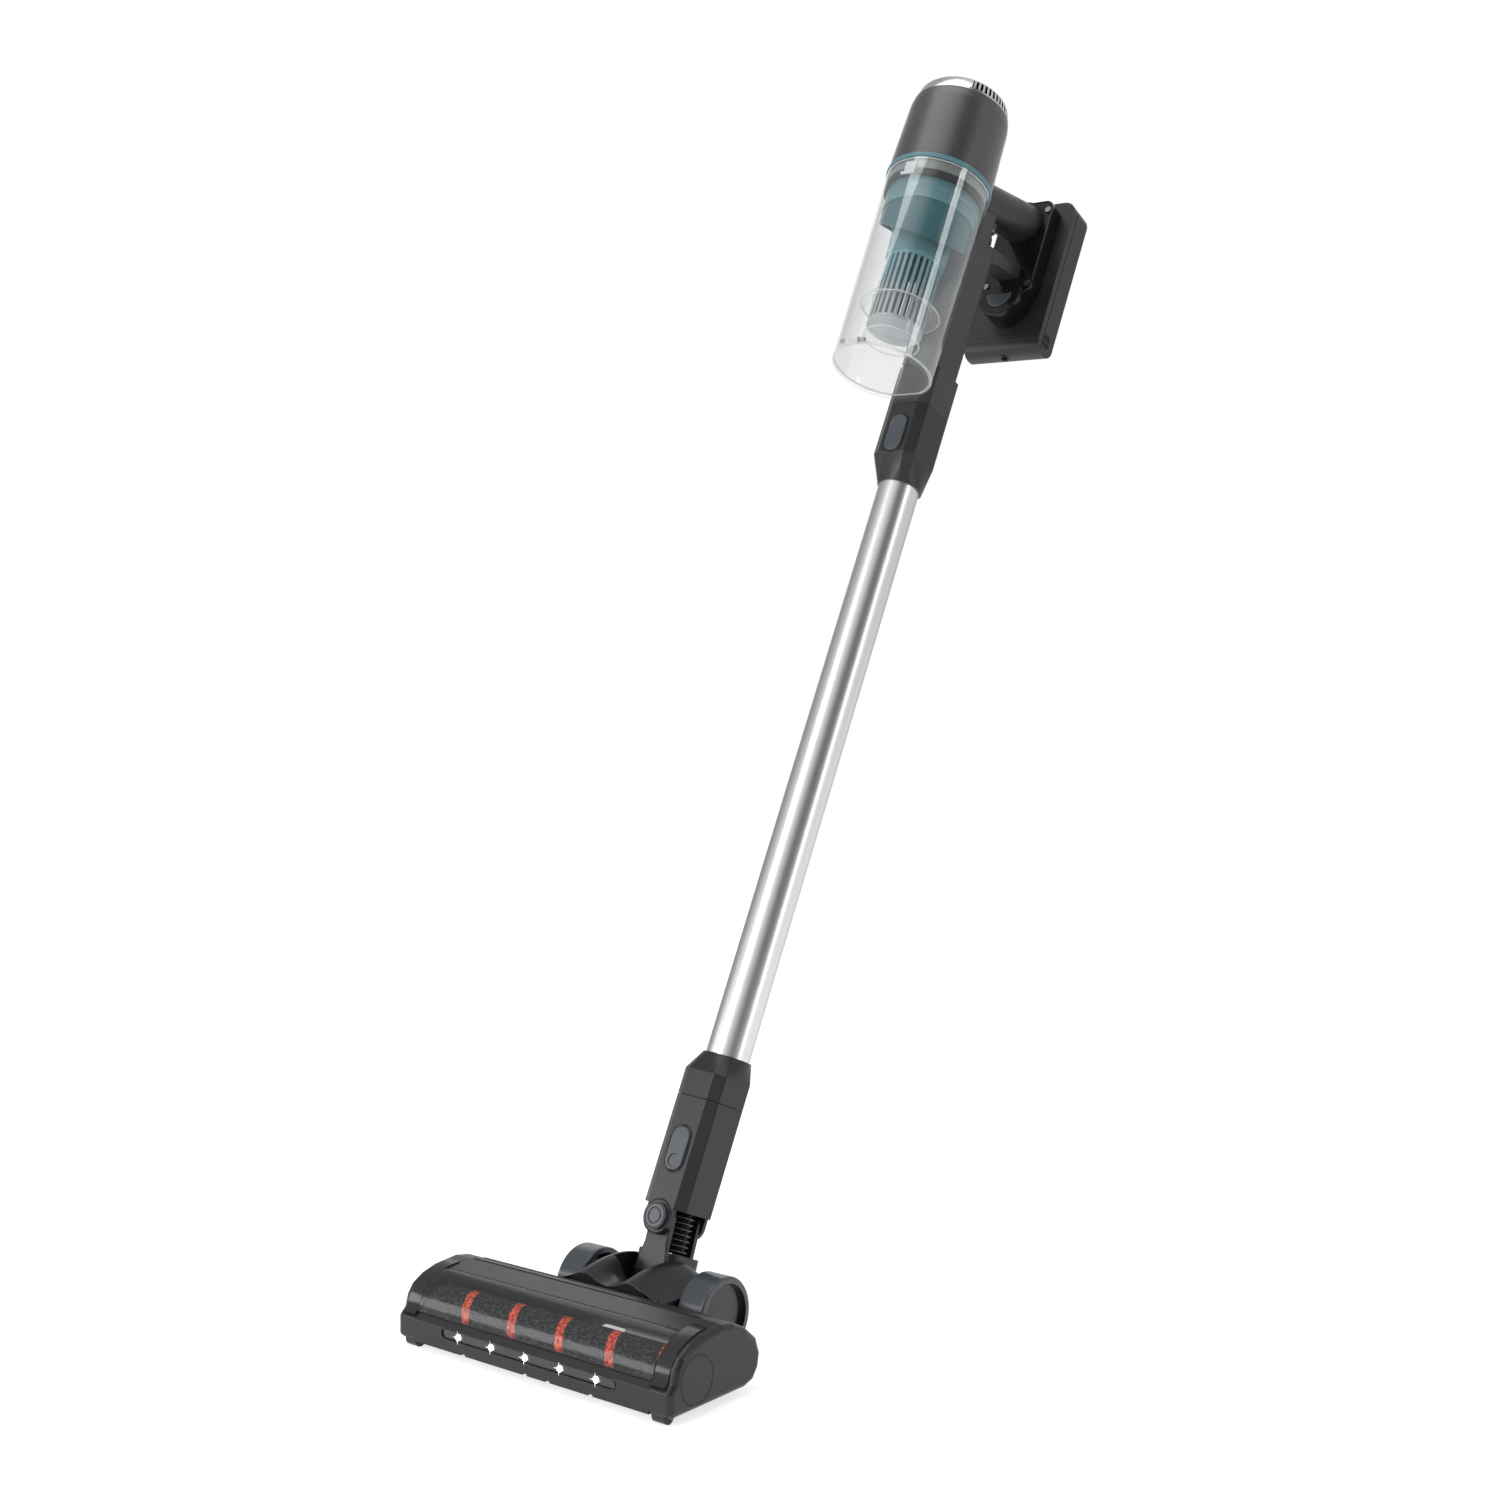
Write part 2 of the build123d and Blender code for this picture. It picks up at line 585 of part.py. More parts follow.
def head_base():
    bumper = between([(BUMPER_Y, 6), (BUMPER_Y, 22), (-42.5, 26), (-40.2, 26), (-41.0, 20),
                      (-40.6, 6)])
    tray = between([(2.0, 5), (32, 5), (41, 7.5), (47, 15), (49, 25), (45, 36), (42.5, 34.5),
                    (46, 25), (44.4, 16), (39.5, 10), (31.5, 7.6), (4.6, 7.6), (4.6, 30), (2.0, 30)])
    sides = both_sides(plank([(-40.6, 6), (-41, 20), (-36, 30), (-10, 36), (2, 30), (2, 5)],
                             CAP_INNER - 1.5, CAP_INNER))
    sides = sides - rod(3.2, -120, 120, ROLLER_Y, ROLLER_Z)
    slot = block((-84, 84), (-50, BUMPER_Y + 2.2), (LED_Z - 3.6, LED_Z + 3.6))
    duct = block((-22, 22), (38, 60), (13, 35))
    notch = [bore(2.4, -60, -38, x, 5.2) for x in (-62, 0, 22, 62)]
    return bumper + tray + sides - slot - duct - notch


def top_cover():
    shell = between([(-12.6, 51.8), (8, 54), (20, 52), (34, 45), (45, 36.3), (42.6, 34.8),
                     (32.6, 42.6), (19.4, 49.4), (8, 51.4), (-12.0, 49.4)])
    groove = block((-CAP_INNER + 3, CAP_INNER - 3), (9, 10.2), (53.2, 56))
    return shell - groove


def window():
    outer = ThreePointArc((-42.3, 26.4), (-34.6, 42.3), (-12.8, 51.6))
    inner = ThreePointArc((-12.4, 49.6), (-33.2, 40.9), (-40.4, 26.4))
    outline = outer + Line((-12.8, 51.6), (-12.4, 49.6)) + inner + Line((-40.4, 26.4), (-42.3, 26.4))
    inset = CAP_INNER - 0.2
    return extrude(Plane.YZ.offset(-inset) * make_face(outline), 2 * inset)


def led_strip():
    return block((-83.6, 83.6), (BUMPER_Y + 0.9, BUMPER_Y + 2.2), (LED_Z - 3.3, LED_Z + 3.3))


def leds():
    places = [(i - (LED_COUNT - 1) / 2) * LED_PITCH for i in range(LED_COUNT)]
    return Compound(children=[bore(2.2, BUMPER_Y - 0.3, BUMPER_Y + 0.9, x, LED_Z) for x in places])


def drive_motor():
    return rod(13.5, 40, 92, 24, 24) - rod(1.5 + PIN_FIT, 78, 93, 24, 24)


def drive_pulley():
    return rod(5.0, 116.5, 124.5, 24, 24) + rod(1.5, 80, 117, 24, 24)


def drive_belt():
    """A flat loop round both pulleys, standing just clear of them."""
    reach = math.hypot(24 - ROLLER_Y, 24 - ROLLER_Z)
    tilt = math.degrees(math.atan2(24 - ROLLER_Z, 24 - ROLLER_Y))
    small, big = 5.0 + GAP, 7.6 + GAP
    spread = math.asin((big - small) / reach)

    def loop(extra):
        sides = []
        for sign in (1, -1):
            for x, r in ((0, big + extra), (reach, small + extra)):
                sides.append((x + r * math.sin(spread), sign * r * math.cos(spread)))
        web = make_face(Polyline(sides[0], sides[1], sides[3], sides[2], close=True))
        return web + Circle(big + extra) + Pos(reach, 0) * Circle(small + extra)

    place = Plane.YZ.offset(117.5) * Pos(ROLLER_Y, ROLLER_Z) * Rot(Z=tilt)
    return extrude(place * (loop(1.2) - loop(0.0)), 6.0)


def roller_core():
    core = rod(CORE_R, -112, 112, ROLLER_Y, ROLLER_Z) \
        - rod(CORE_R - 2.2, -108, 108, ROLLER_Y, ROLLER_Z)
    journals = both_sides(rod(2.5 - PIN_FIT, 112, 126, ROLLER_Y, ROLLER_Z))
    pulley = rod(7.6, 116.5, 123, ROLLER_Y, ROLLER_Z)
    return core + journals + pulley


def roller_sleeve():
    sleeve = rod(ROLLER_R, -111.8, 111.8, ROLLER_Y, ROLLER_Z)
    return sleeve - rod(CORE_R, -113, 113, ROLLER_Y, ROLLER_Z)


def arm_outline():
    return [(48, 12), (52, 9), (100, 9), (112, 16), (114, 34), (108, 44), (98, 48), (84, 49),
            (60, 52), (36, 51), (36.5, 44.5), (45, 37.5), (50, 25)]


def rear_body():
    """The T-shaped tail: a duct bridge behind the head and two arms for the hinge and axles."""
    arms = both_sides(plank(arm_outline(), ARM_IN, ARM_OUT))
    bridge = plank([(50, 12), (66, 12), (66, 50), (36, 51), (36.5, 44.5), (45.5, 36.8),
                    (50, 25)], -ARM_IN, ARM_IN)
    duct = bore(13.0, 40, 70, 0, 27)
    taper = both_sides(Pos(ARM_OUT + 6, 60, 52) * Rot(Y=30) * block((-20, 20), (-40, 80), (0, 30)))
    hinge = rod(4.0, -40, 40, HINGE_Y, HINGE_Z)
    axle = both_sides(rod(3.0, 34, 60, WHEEL_Y, WHEEL_R))
    return arms + bridge - duct - taper - hinge - axle


def axle_pins():
    pins = [rod(4.0, s * 26 - 12, s * 26 + 12, HINGE_Y, HINGE_Z) for s in (-1, 1)]
    axles = [rod(3.0, s * 50 - 16, s * 50 + 16, WHEEL_Y, WHEEL_R) for s in (-1, 1)]
    castors = [rod(1.2, s * 121 - 6.8, s * 121 + 6.8, CASTOR_Y, CASTOR_R) for s in (-1, 1)]
    return Compound(children=pins + axles + castors)


def wheel(side):
    tyre = rod(WHEEL_R, WHEEL_IN, WHEEL_OUT, WHEEL_Y, WHEEL_R)
    tyre = fillet(tyre.edges(), 2.0)
    outer_dish = rod(WHEEL_R - 5, WHEEL_OUT - 4, WHEEL_OUT + 1, WHEEL_Y, WHEEL_R)
    inner_dish = rod(WHEEL_R - 4, WHEEL_IN - 1, WHEEL_OUT - 9, WHEEL_Y, WHEEL_R)
    hub = rod(7.0, WHEEL_IN + 0.4, WHEEL_OUT - 8.9, WHEEL_Y, WHEEL_R)
    body = tyre - outer_dish - inner_dish + hub
    body = body - rod(3.0 + PIN_FIT, WHEEL_IN - 2, WHEEL_OUT - 5.5, WHEEL_Y, WHEEL_R)
    return mirror(body, about=Plane.YZ) if side < 0 else body


def castor(side):
    body = rod(CASTOR_R, CASTOR_X - 5.5, CASTOR_X + 5.5, CASTOR_Y, CASTOR_R)
    body = body - rod(1.2 + PIN_FIT, CASTOR_X - 7, CASTOR_X + 7, CASTOR_Y, CASTOR_R)
    return mirror(body, about=Plane.YZ) if side < 0 else body


def head_screws():
    spots = [(x, y) for x in (-100, 100) for y in (12, 30)]
    return Compound(children=[Pos(x, y, 0) * post(2.6, 3.8, 5.0) for x, y in spots])


# ---- assembly -----------------------------------------------------------------------------
STICK_PARTS = {
    "motor_housing": motor_housing, "exhaust_ring": exhaust_ring, "top_cap": top_cap,
    "accent_ring": accent_ring, "motor_can": motor_can, "motor_rotor": motor_rotor,
    "pre_filter": pre_filter, "exhaust_filter": exhaust_filter, "spine": spine,
    "grip_root": grip_root, "grip_sleeve": grip_sleeve, "brace": brace,
    "battery_holder": battery_holder, "circuit_board": circuit_board,
    "holder_screws": holder_screws, "trigger_pin": trigger_pin, "trigger": trigger,
    "battery_button": battery_button, "battery_case": battery_case,
    "battery_cells": battery_cells, "battery_contacts": battery_contacts,
    "dust_cup": dust_cup, "cup_ring": cup_ring, "cup_seal": cup_seal,
    "cyclone_body": cyclone_body, "baffle": baffle, "louvre_shroud": louvre_shroud,
    "skirt_disc": skirt_disc, "inner_cup": inner_cup, "lid_pin": lid_pin, "cup_lid": cup_lid,
    "wand_collar": wand_collar, "wand_tube": wand_tube, "tube_connector": tube_connector,
    "neck_collar": neck_collar, "swivel_pins": swivel_pins,
}
HEAD_PARTS = {
    "pitch_hose": pitch_hose, "head_base": head_base, "top_cover": top_cover, "window": window,
    "led_strip": led_strip, "leds": leds, "drive_motor": drive_motor,
    "drive_pulley": drive_pulley, "drive_belt": drive_belt, "roller_core": roller_core,
    "roller_sleeve": roller_sleeve, "rear_body": rear_body, "axle_pins": axle_pins,
    "head_screws": head_screws,
}


def build():
    """Every node in the head's frame."""
    made = {name: STICK * make() for name, make in STICK_PARTS.items()}
    made["wand_button"] = STICK * pill_button(WAND_PILL_Z, False)
    made["neck_button"] = STICK * pill_button(NECK_PILL_Z, True)
    made["neck_yoke"] = NECK * neck_yoke()
    made["swivel_hose"] = NECK * swivel_hose()
    made.update({name: make() for name, make in HEAD_PARTS.items()})
    for side, word in ((-1, "left"), (1, "right")):
        made["end_cap_" + word] = end_cap(side)
        made["wheel_" + word] = wheel(side)
        made["castor_" + word] = castor(side)
    return made


def origin_shift(made):
    """Move the origin to the middle of the bounding box's base."""
    boxes = [shape.bounding_box() for shape in made.values()]
    low = [min(tuple(box.min)[i] for box in boxes) for i in range(3)]
    high = [max(tuple(box.max)[i] for box in boxes) for i in range(3)]
    return Pos(-(low[0] + high[0]) / 2, -(low[1] + high[1]) / 2, -low[2])


parts = build()
SHIFT = origin_shift(parts)
for node, shape in parts.items():
    export_step(SHIFT * shape, "parts/" + node + ".step")
print(len(parts), "nodes, shift", SHIFT.position)
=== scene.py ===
import math

import bmesh
import bpy
from mathutils import Matrix, Vector


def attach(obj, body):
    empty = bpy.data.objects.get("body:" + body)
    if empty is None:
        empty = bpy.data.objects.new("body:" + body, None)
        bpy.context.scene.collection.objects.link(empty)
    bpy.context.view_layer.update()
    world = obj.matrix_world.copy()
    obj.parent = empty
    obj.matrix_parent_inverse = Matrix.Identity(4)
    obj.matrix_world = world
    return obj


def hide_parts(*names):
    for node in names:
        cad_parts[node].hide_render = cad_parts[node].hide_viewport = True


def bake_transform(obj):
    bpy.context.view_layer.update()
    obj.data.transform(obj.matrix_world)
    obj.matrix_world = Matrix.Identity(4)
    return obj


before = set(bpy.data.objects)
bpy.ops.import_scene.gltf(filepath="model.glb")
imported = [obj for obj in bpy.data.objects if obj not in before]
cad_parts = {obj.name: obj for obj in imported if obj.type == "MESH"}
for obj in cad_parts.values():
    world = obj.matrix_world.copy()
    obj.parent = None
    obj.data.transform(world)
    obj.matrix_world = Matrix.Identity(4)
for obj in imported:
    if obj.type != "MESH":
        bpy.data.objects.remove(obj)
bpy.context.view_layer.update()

# ---- frames: each turns millimetres of the drawing into the row frame --------------------
MM = 0.001
SHIFT_Y = -259.245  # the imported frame's offset from the drawing, in millimetres
LEAN_BACK = math.radians(21.7)
LEAN_RIGHT = math.radians(4.4)
CUP_FORWARD = 66  # the cup's axis is this far in front of the stick's
PIVOT = Vector((0, 115 + SHIFT_Y, 77.6)) * MM
LEANING = Matrix.Translation(PIVOT) @ Matrix.Rotation(-LEAN_BACK, 4, "X")
NECK = LEANING @ Matrix.Scale(MM, 4)
STICK = LEANING @ Matrix.Rotation(LEAN_RIGHT, 4, "Y") @ Matrix.Scale(MM, 4)
CUP = STICK @ Matrix.Translation((0, -CUP_FORWARD, 0))
HEAD = Matrix.Translation((0, SHIFT_Y * MM, 0)) @ Matrix.Scale(MM, 4)
GRIP = STICK @ Matrix.Translation((0, 40, 917)) @ Matrix.Rotation(math.radians(-70.5), 4, "X")

ROLLER_Y = -19.5
ROLLER_HEIGHT = 22.5
WHEEL_Y = 84
WHEEL_RADIUS = 28


# ---- materials ----------------------------------------------------------------------------
class Mat:
    """A node material whose socket values are set on the shader itself."""

    def __init__(self, name, base, rough=0.4, metal=0.0, **sockets):
        self.mat = bpy.data.materials.new(name)
        self.mat.use_nodes = True
        self.tree = self.mat.node_tree
        self.shader = self.tree.nodes["Principled BSDF"]
        self.put("Base Color", base)
        self.put("Roughness", rough)
        self.put("Metallic", metal)
        for key, value in sockets.items():
            self.put(key.replace("_", " "), value)

    def put(self, socket, value):
        if isinstance(value, tuple) and len(value) == 3:
            value = (*value, 1.0)
        self.shader.inputs[socket].default_value = value

    def node(self, kind, **settings):
        made = self.tree.nodes.new("ShaderNode" + kind)
        for key, value in settings.items():
            setattr(made, key, value)
        return made

    def join(self, source, target):
        self.tree.links.new(source, target)

    def coords(self, scale=(1, 1, 1), turn=(0, 0, 0)):
        mapping = self.node("Mapping")
        mapping.inputs["Scale"].default_value = scale
        mapping.inputs["Rotation"].default_value = turn
        self.join(self.node("TexCoord").outputs["Object"], mapping.inputs["Vector"])
        return mapping.outputs["Vector"]

    def noise(self, scale, detail=3.0, vector=None):
        made = self.node("TexNoise")
        made.inputs["Scale"].default_value = scale
        made.inputs["Detail"].default_value = detail
        self.join(vector or self.coords(), made.inputs["Vector"])
        return made.outputs["Fac"]

    def ramp(self, source, stops):
        made = self.node("ValToRGB")
        band = made.color_ramp
        while len(band.elements) < len(stops):
            band.elements.new(0.5)
        for element, (place, colour) in zip(band.elements, stops):
            element.position = place
            element.color = (*colour, 1.0)
        self.join(source, made.inputs["Fac"])
        return made.outputs["Color"]

    def math(self, kind, a, b=None):
        made = self.node("Math", operation=kind)
        for socket, value in ((made.inputs[0], a), (made.inputs[1], b)):
            if value is None:
                continue
            if isinstance(value, (int, float)):
                socket.default_value = value
            else:
                self.join(value, socket)
        return made.outputs[0]

    def spread(self, source, low, high, socket="Roughness"):
        made = self.node("MapRange")
        made.inputs["To Min"].default_value = low
        made.inputs["To Max"].default_value = high
        self.join(source, made.inputs["Value"])
        self.join(made.outputs["Result"], self.shader.inputs[socket])

    def grain(self, scale, strength, distance=0.0002, edge=0.0):
        """Fine bump, and an edge whose normals are rounded."""
        bump = self.node("Bump")
        bump.inputs["Strength"].default_value = strength
        bump.inputs["Distance"].default_value = distance
        self.join(self.noise(scale, 2.0), bump.inputs["Height"])
        if edge:
            rounded = self.node("Bevel")
            rounded.samples = 4
            rounded.inputs["Radius"].default_value = edge
            self.join(rounded.outputs["Normal"], bump.inputs["Normal"])
        self.join(bump.outputs["Normal"], self.shader.inputs["Normal"])
        return self

    def mottle(self, dark, light, scale=9.0):
        self.join(self.ramp(self.noise(scale, 4.0), [(0.3, dark), (0.7, light)]),
                  self.shader.inputs["Base Color"])
        return self


def shell_plastic(name, base, rough, edge=0.0007, grain=0.12):
    """Moulded plastic with slight mottling, uneven gloss, a fine grain and rounded edges."""
    made = Mat(name, base, rough, Specular_IOR_Level=0.36)
    dark = tuple(c * 0.86 for c in base)
    light = tuple(c * 1.14 for c in base)
    made.mottle(dark, light)
    made.spread(made.noise(60, 4.0), rough - 0.05, rough + 0.06)
    return made.grain(2600, grain, 0.0001, edge)


charcoal = shell_plastic("charcoal_plastic", (0.0135, 0.0136, 0.0139), 0.34)
charcoal_soft = shell_plastic("charcoal_satin", (0.0145, 0.0146, 0.0149), 0.42)
spine_plastic = shell_plastic("spine_plastic", (0.026, 0.0262, 0.0266), 0.38)
gloss_black = shell_plastic("gloss_black", (0.006, 0.0061, 0.0063), 0.14, 0.0006, 0.03)
deep_black = shell_plastic("deep_black", (0.006, 0.006, 0.006), 0.5, 0.0004)
slate = shell_plastic("slate_plastic", (0.052, 0.060, 0.071), 0.24, 0.0007, 0.05)
band_gloss = shell_plastic("end_band_gloss", (0.020, 0.020, 0.021), 0.12, 0.0005, 0.03)

gunmetal = Mat("gunmetal_lacquer", (0.040, 0.040, 0.041), 0.36, 0.6, Coat_Weight=0.25, Coat_Roughness=0.3)
gunmetal.mottle((0.062, 0.061, 0.061), (0.075, 0.074, 0.074), 14)
gunmetal.spread(gunmetal.noise(900, 2.0), 0.32, 0.42)
gunmetal.grain(3200, 0.10, 0.0001, 0.0006)

chrome = Mat("bright_metal", (0.60, 0.60, 0.61), 0.2, 1.0)
chrome.spread(chrome.noise(220, 3.0), 0.15, 0.26)
chrome.grain(1500, 0.05, 0.0001, 0.0004)

steel = Mat("turned_steel", (0.22, 0.22, 0.23), 0.34, 1.0)
steel.spread(steel.noise(300, 3.0), 0.28, 0.42)
steel.grain(1800, 0.08, 0.0001, 0.0003)

tube_metal = Mat("wand_aluminium", (0.66, 0.665, 0.67), 0.3, 1.0)
along = tube_metal.coords((900, 900, 14), (LEAN_BACK, -LEAN_RIGHT, 0))
tube_metal.spread(tube_metal.noise(1.0, 3.0, along), 0.26, 0.36)
streak = tube_metal.node("Bump")
streak.inputs["Strength"].default_value = 0.05
streak.inputs["Distance"].default_value = 0.0001
tube_metal.join(tube_metal.noise(1.0, 3.0, along), streak.inputs["Height"])
tube_metal.join(streak.outputs["Normal"], tube_metal.shader.inputs["Normal"])
# painted shade: the tube's colour darkens towards its edge-on sides, so it stands out from the pale
# background
edge_on_shade = tube_metal.node("LayerWeight")
edge_on_shade.inputs["Blend"].default_value = 0.5
TUBE_EDGE_SHADE_TONES = [(0.0, (0.66, 0.665, 0.67)), (0.55, (0.62, 0.625, 0.63)), (1.0, (0.16, 0.162, 0.165))]
tube_metal.join(tube_metal.ramp(edge_on_shade.outputs["Facing"], TUBE_EDGE_SHADE_TONES), tube_metal.shader.inputs["Base Color"])

teal_ring = shell_plastic("teal_ring", (0.070, 0.165, 0.190), 0.22, 0.0004, 0.04)
rubber = shell_plastic("hose_rubber", (0.008, 0.008, 0.009), 0.2, 0.0, 0.05)
# painted highlight: pale grey that stands in for the glint on the hose crests
crest_glint_finish = shell_plastic("hose_crest_glint", (0.16, 0.16, 0.165), 0.18, 0.0, 0.03)
seal = shell_plastic("seal_rubber", (0.008, 0.008, 0.009), 0.6)


def clear(name, base, face, edge, rough=0.04, blend=0.35, film=0.0):
    """Clear plastic, nearly invisible face on and denser edge on; film is how far it only reflects."""
    made = Mat(name, base, rough, IOR=1.9, Metallic=film)
    weight = made.node("LayerWeight")
    weight.inputs["Blend"].default_value = blend
    made.spread(weight.outputs["Facing"], face, edge, "Alpha")
    return made


cup_clear = clear("cup_clear", (0.66, 0.68, 0.69), 0.085, 0.66, 0.05, 0.3, 0.85)
rim_clear = clear("rim_clear", (0.66, 0.68, 0.69), 0.4, 0.85)
lid_clear = clear("lid_clear", (0.50, 0.51, 0.51), 0.04, 0.28, 0.05, 0.3, 0.7)
inner_clear = clear("inner_clear", (0.62, 0.64, 0.65), 0.04, 0.30, 0.05, 0.3, 0.85)
window_clear = clear("window_clear", (0.09, 0.09, 0.092), 0.20, 0.70, 0.17, 0.3, 0.3)
ring_grey = clear("ring_grey", (0.22, 0.235, 0.24), 0.72, 0.9, 0.15)


def along_stick(material, low, high):
    """0 to 1 along the stick between two heights in millimetres."""
    axis = (STICK.to_3x3() @ Vector((0, 0, 1000))).normalized()
    dot = material.node("VectorMath", operation="DOT_PRODUCT")
    material.join(material.node("TexCoord").outputs["Object"], dot.inputs[0])
    dot.inputs[1].default_value = axis
    base = axis.dot(PIVOT)
    ranged = material.node("MapRange")
    ranged.inputs["From Min"].default_value = base + low * MM
    ranged.inputs["From Max"].default_value = base + high * MM
    material.join(dot.outputs["Value"], ranged.inputs["Value"])
    return ranged.outputs["Result"]


teal = Mat("teal_cyclone", (0.13, 0.29, 0.32), 0.24, Subsurface_Weight=0.15, Subsurface_Scale=0.003)
# painted highlight and shade: the teal's colour runs lighter and darker in bands along the stick
TEAL_LIT_SHADED_TONES = [(0.0, (0.085, 0.205, 0.23)), (0.35, (0.06, 0.15, 0.172)),
              (0.62, (0.10, 0.22, 0.245)), (1.0, (0.038, 0.11, 0.13))]
teal.join(teal.ramp(along_stick(teal, 795, 866), TEAL_LIT_SHADED_TONES), teal.shader.inputs["Base Color"])
teal.spread(teal.noise(90, 3.0), 0.18, 0.3)
teal.grain(1800, 0.05, 0.0001, 0.0005)

teal_dark = Mat("teal_scoop", (0.020, 0.092, 0.108), 0.24)
teal_dark.mottle((0.017, 0.082, 0.096), (0.024, 0.104, 0.120), 30)
teal_dark.grain(1800, 0.05, 0.0001, 0.0005)

louvre = Mat("louvre_plastic", (0.2, 0.3, 0.33), 0.22)
LOUVRE_TONES = [(0.0, (0.36, 0.38, 0.39)), (0.42, (0.27, 0.31, 0.33)),
                (0.6, (0.13, 0.25, 0.28)), (1.0, (0.10, 0.25, 0.29))]
louvre.join(louvre.ramp(along_stick(louvre, 733, 798), LOUVRE_TONES), louvre.shader.inputs["Base Color"])
louvre.grain(1500, 0.05, 0.0001, 0.0004)

nap = Mat("roller_nap", (0.012, 0.014, 0.017), 0.92, Sheen_Weight=0.04, Sheen_Roughness=0.5,
          Specular_IOR_Level=0.12)
# one red stripe wound round the dark nap
STRIPE_START = 0.0263
STRIPE_PITCH = 0.0466
spot = nap.node("SeparateXYZ")
nap.join(nap.node("TexCoord").outputs["Object"], spot.inputs["Vector"])
rise = nap.math("SUBTRACT", spot.outputs["Z"], ROLLER_HEIGHT * MM)
forward = nap.math("MULTIPLY", nap.math("SUBTRACT", spot.outputs["Y"], (ROLLER_Y + SHIFT_Y) * MM), -1.0)
turns = nap.math("DIVIDE", nap.math("ARCTAN2", rise, forward), 2 * math.pi)
run = nap.math("DIVIDE", nap.math("SUBTRACT", spot.outputs["X"], STRIPE_START), STRIPE_PITCH)
run = nap.math("ADD", run, turns)
wobble = nap.math("MULTIPLY", nap.math("SUBTRACT", nap.noise(420, 3.0), 0.5), 0.05)
phase = nap.math("FRACT", nap.math("ADD", nap.math("ADD", run, wobble), 0.5))
off_stripe = nap.math("ABSOLUTE", nap.math("SUBTRACT", phase, 0.5))
fibre = nap.noise(430, 3.0)
red = nap.ramp(fibre, [(0.40, (0.38, 0.022, 0.010)), (0.60, (0.95, 0.15, 0.07))])
black = nap.ramp(fibre, [(0.46, (0.002, 0.0025, 0.0035)), (0.60, (0.040, 0.045, 0.054))])
pick = nap.node("Mix", data_type="RGBA")
nap.join(nap.ramp(off_stripe, [(0.074, (1, 1, 1)), (0.088, (0, 0, 0))]), pick.inputs["Factor"])
nap.join(black, pick.inputs["A"])
nap.join(red, pick.inputs["B"])
nap.join(pick.outputs["Result"], nap.shader.inputs["Base Color"])
pile = nap.node("Bump")
pile.inputs["Strength"].default_value = 0.9
pile.inputs["Distance"].default_value = 0.0005
nap.join(nap.noise(900, 4.0), pile.inputs["Height"])
nap.join(pile.outputs["Normal"], nap.shader.inputs["Normal"])

# the wheels' tyre is slate and their hub black
wheel = Mat("wheel_plastic", (0.08, 0.09, 0.105), 0.24)
spot = wheel.node("SeparateXYZ")
wheel.join(wheel.node("TexCoord").outputs["Object"], spot.inputs["Vector"])
dy = wheel.math("SUBTRACT", spot.outputs["Y"], (WHEEL_Y + SHIFT_Y) * MM)
dz = wheel.math("SUBTRACT", spot.outputs["Z"], WHEEL_RADIUS * MM)
squared = wheel.math("ADD", wheel.math("MULTIPLY", dy, dy), wheel.math("MULTIPLY", dz, dz))
share = wheel.math("DIVIDE", wheel.math("SQRT", squared), WHEEL_RADIUS * MM)
WHEEL_TONES = [(0.82, (0.008, 0.0083, 0.0086)), (0.835, (0.045, 0.052, 0.063))]
wheel.join(wheel.ramp(share, WHEEL_TONES), wheel.shader.inputs["Base Color"])
wheel.spread(wheel.noise(120, 3.0), 0.2, 0.3)
wheel.grain(2200, 0.05, 0.0001, 0.0007)

paper = shell_plastic("filter_paper", (0.55, 0.55, 0.5), 0.9)
board = shell_plastic("board_green", (0.02, 0.12, 0.05), 0.4)
wrap = shell_plastic("cell_wrap", (0.03, 0.12, 0.2), 0.35)
light = Mat("led_light", (1, 1, 1), 0.3, Emission_Color=(1.0, 1.0, 1.0), Emission_Strength=1.8)
light.grain(800, 0.02)
strip = Mat("strip_lens", (0.03, 0.03, 0.032), 0.14)
strip.mottle((0.024, 0.024, 0.026), (0.036, 0.036, 0.038), 40)

FINISH = {
    gunmetal: ["motor_housing"],
    chrome: ["exhaust_ring"],
    deep_black: ["top_cap"],
    teal_ring: ["accent_ring"],
    paper: ["pre_filter", "exhaust_filter"],
    board: ["circuit_board"],
    steel: ["motor_can", "motor_rotor", "trigger_pin", "lid_pin", "holder_screws", "drive_motor",
            "drive_pulley", "axle_pins", "head_screws", "battery_contacts"],
    spine_plastic: ["spine", "brace"],
    charcoal: ["grip_root", "wand_collar", "tube_connector", "neck_collar", "neck_yoke", "head_base",
               "top_cover", "rear_body", "end_cap_left", "end_cap_right"],
    charcoal_soft: ["grip_sleeve", "battery_case", "castor_left", "castor_right", "roller_core"],
    gloss_black: ["battery_holder", "trigger"],
    slate: ["battery_button", "wand_button", "neck_button", "swivel_pins"],
    wrap: ["battery_cells"],
    seal: ["cup_seal", "drive_belt"],
    teal: ["cyclone_body"],
    teal_dark: ["baffle"],
    louvre: ["louvre_shroud"],
    ring_grey: ["cup_ring"],
    inner_clear: ["skirt_disc", "inner_cup"],
    lid_clear: ["cup_lid"],
    cup_clear: ["dust_cup"],
    tube_metal: ["wand_tube"],
    rubber: ["swivel_hose", "pitch_hose"],
    window_clear: ["window"],
    strip: ["led_strip"],
    light: ["leds"],
    nap: ["roller_sleeve"],
    wheel: ["wheel_left", "wheel_right"],
}
for finish, names in FINISH.items():
    for name in names:
        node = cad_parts[name]
        node.data.materials.clear()
        node.data.materials.append(finish.mat)


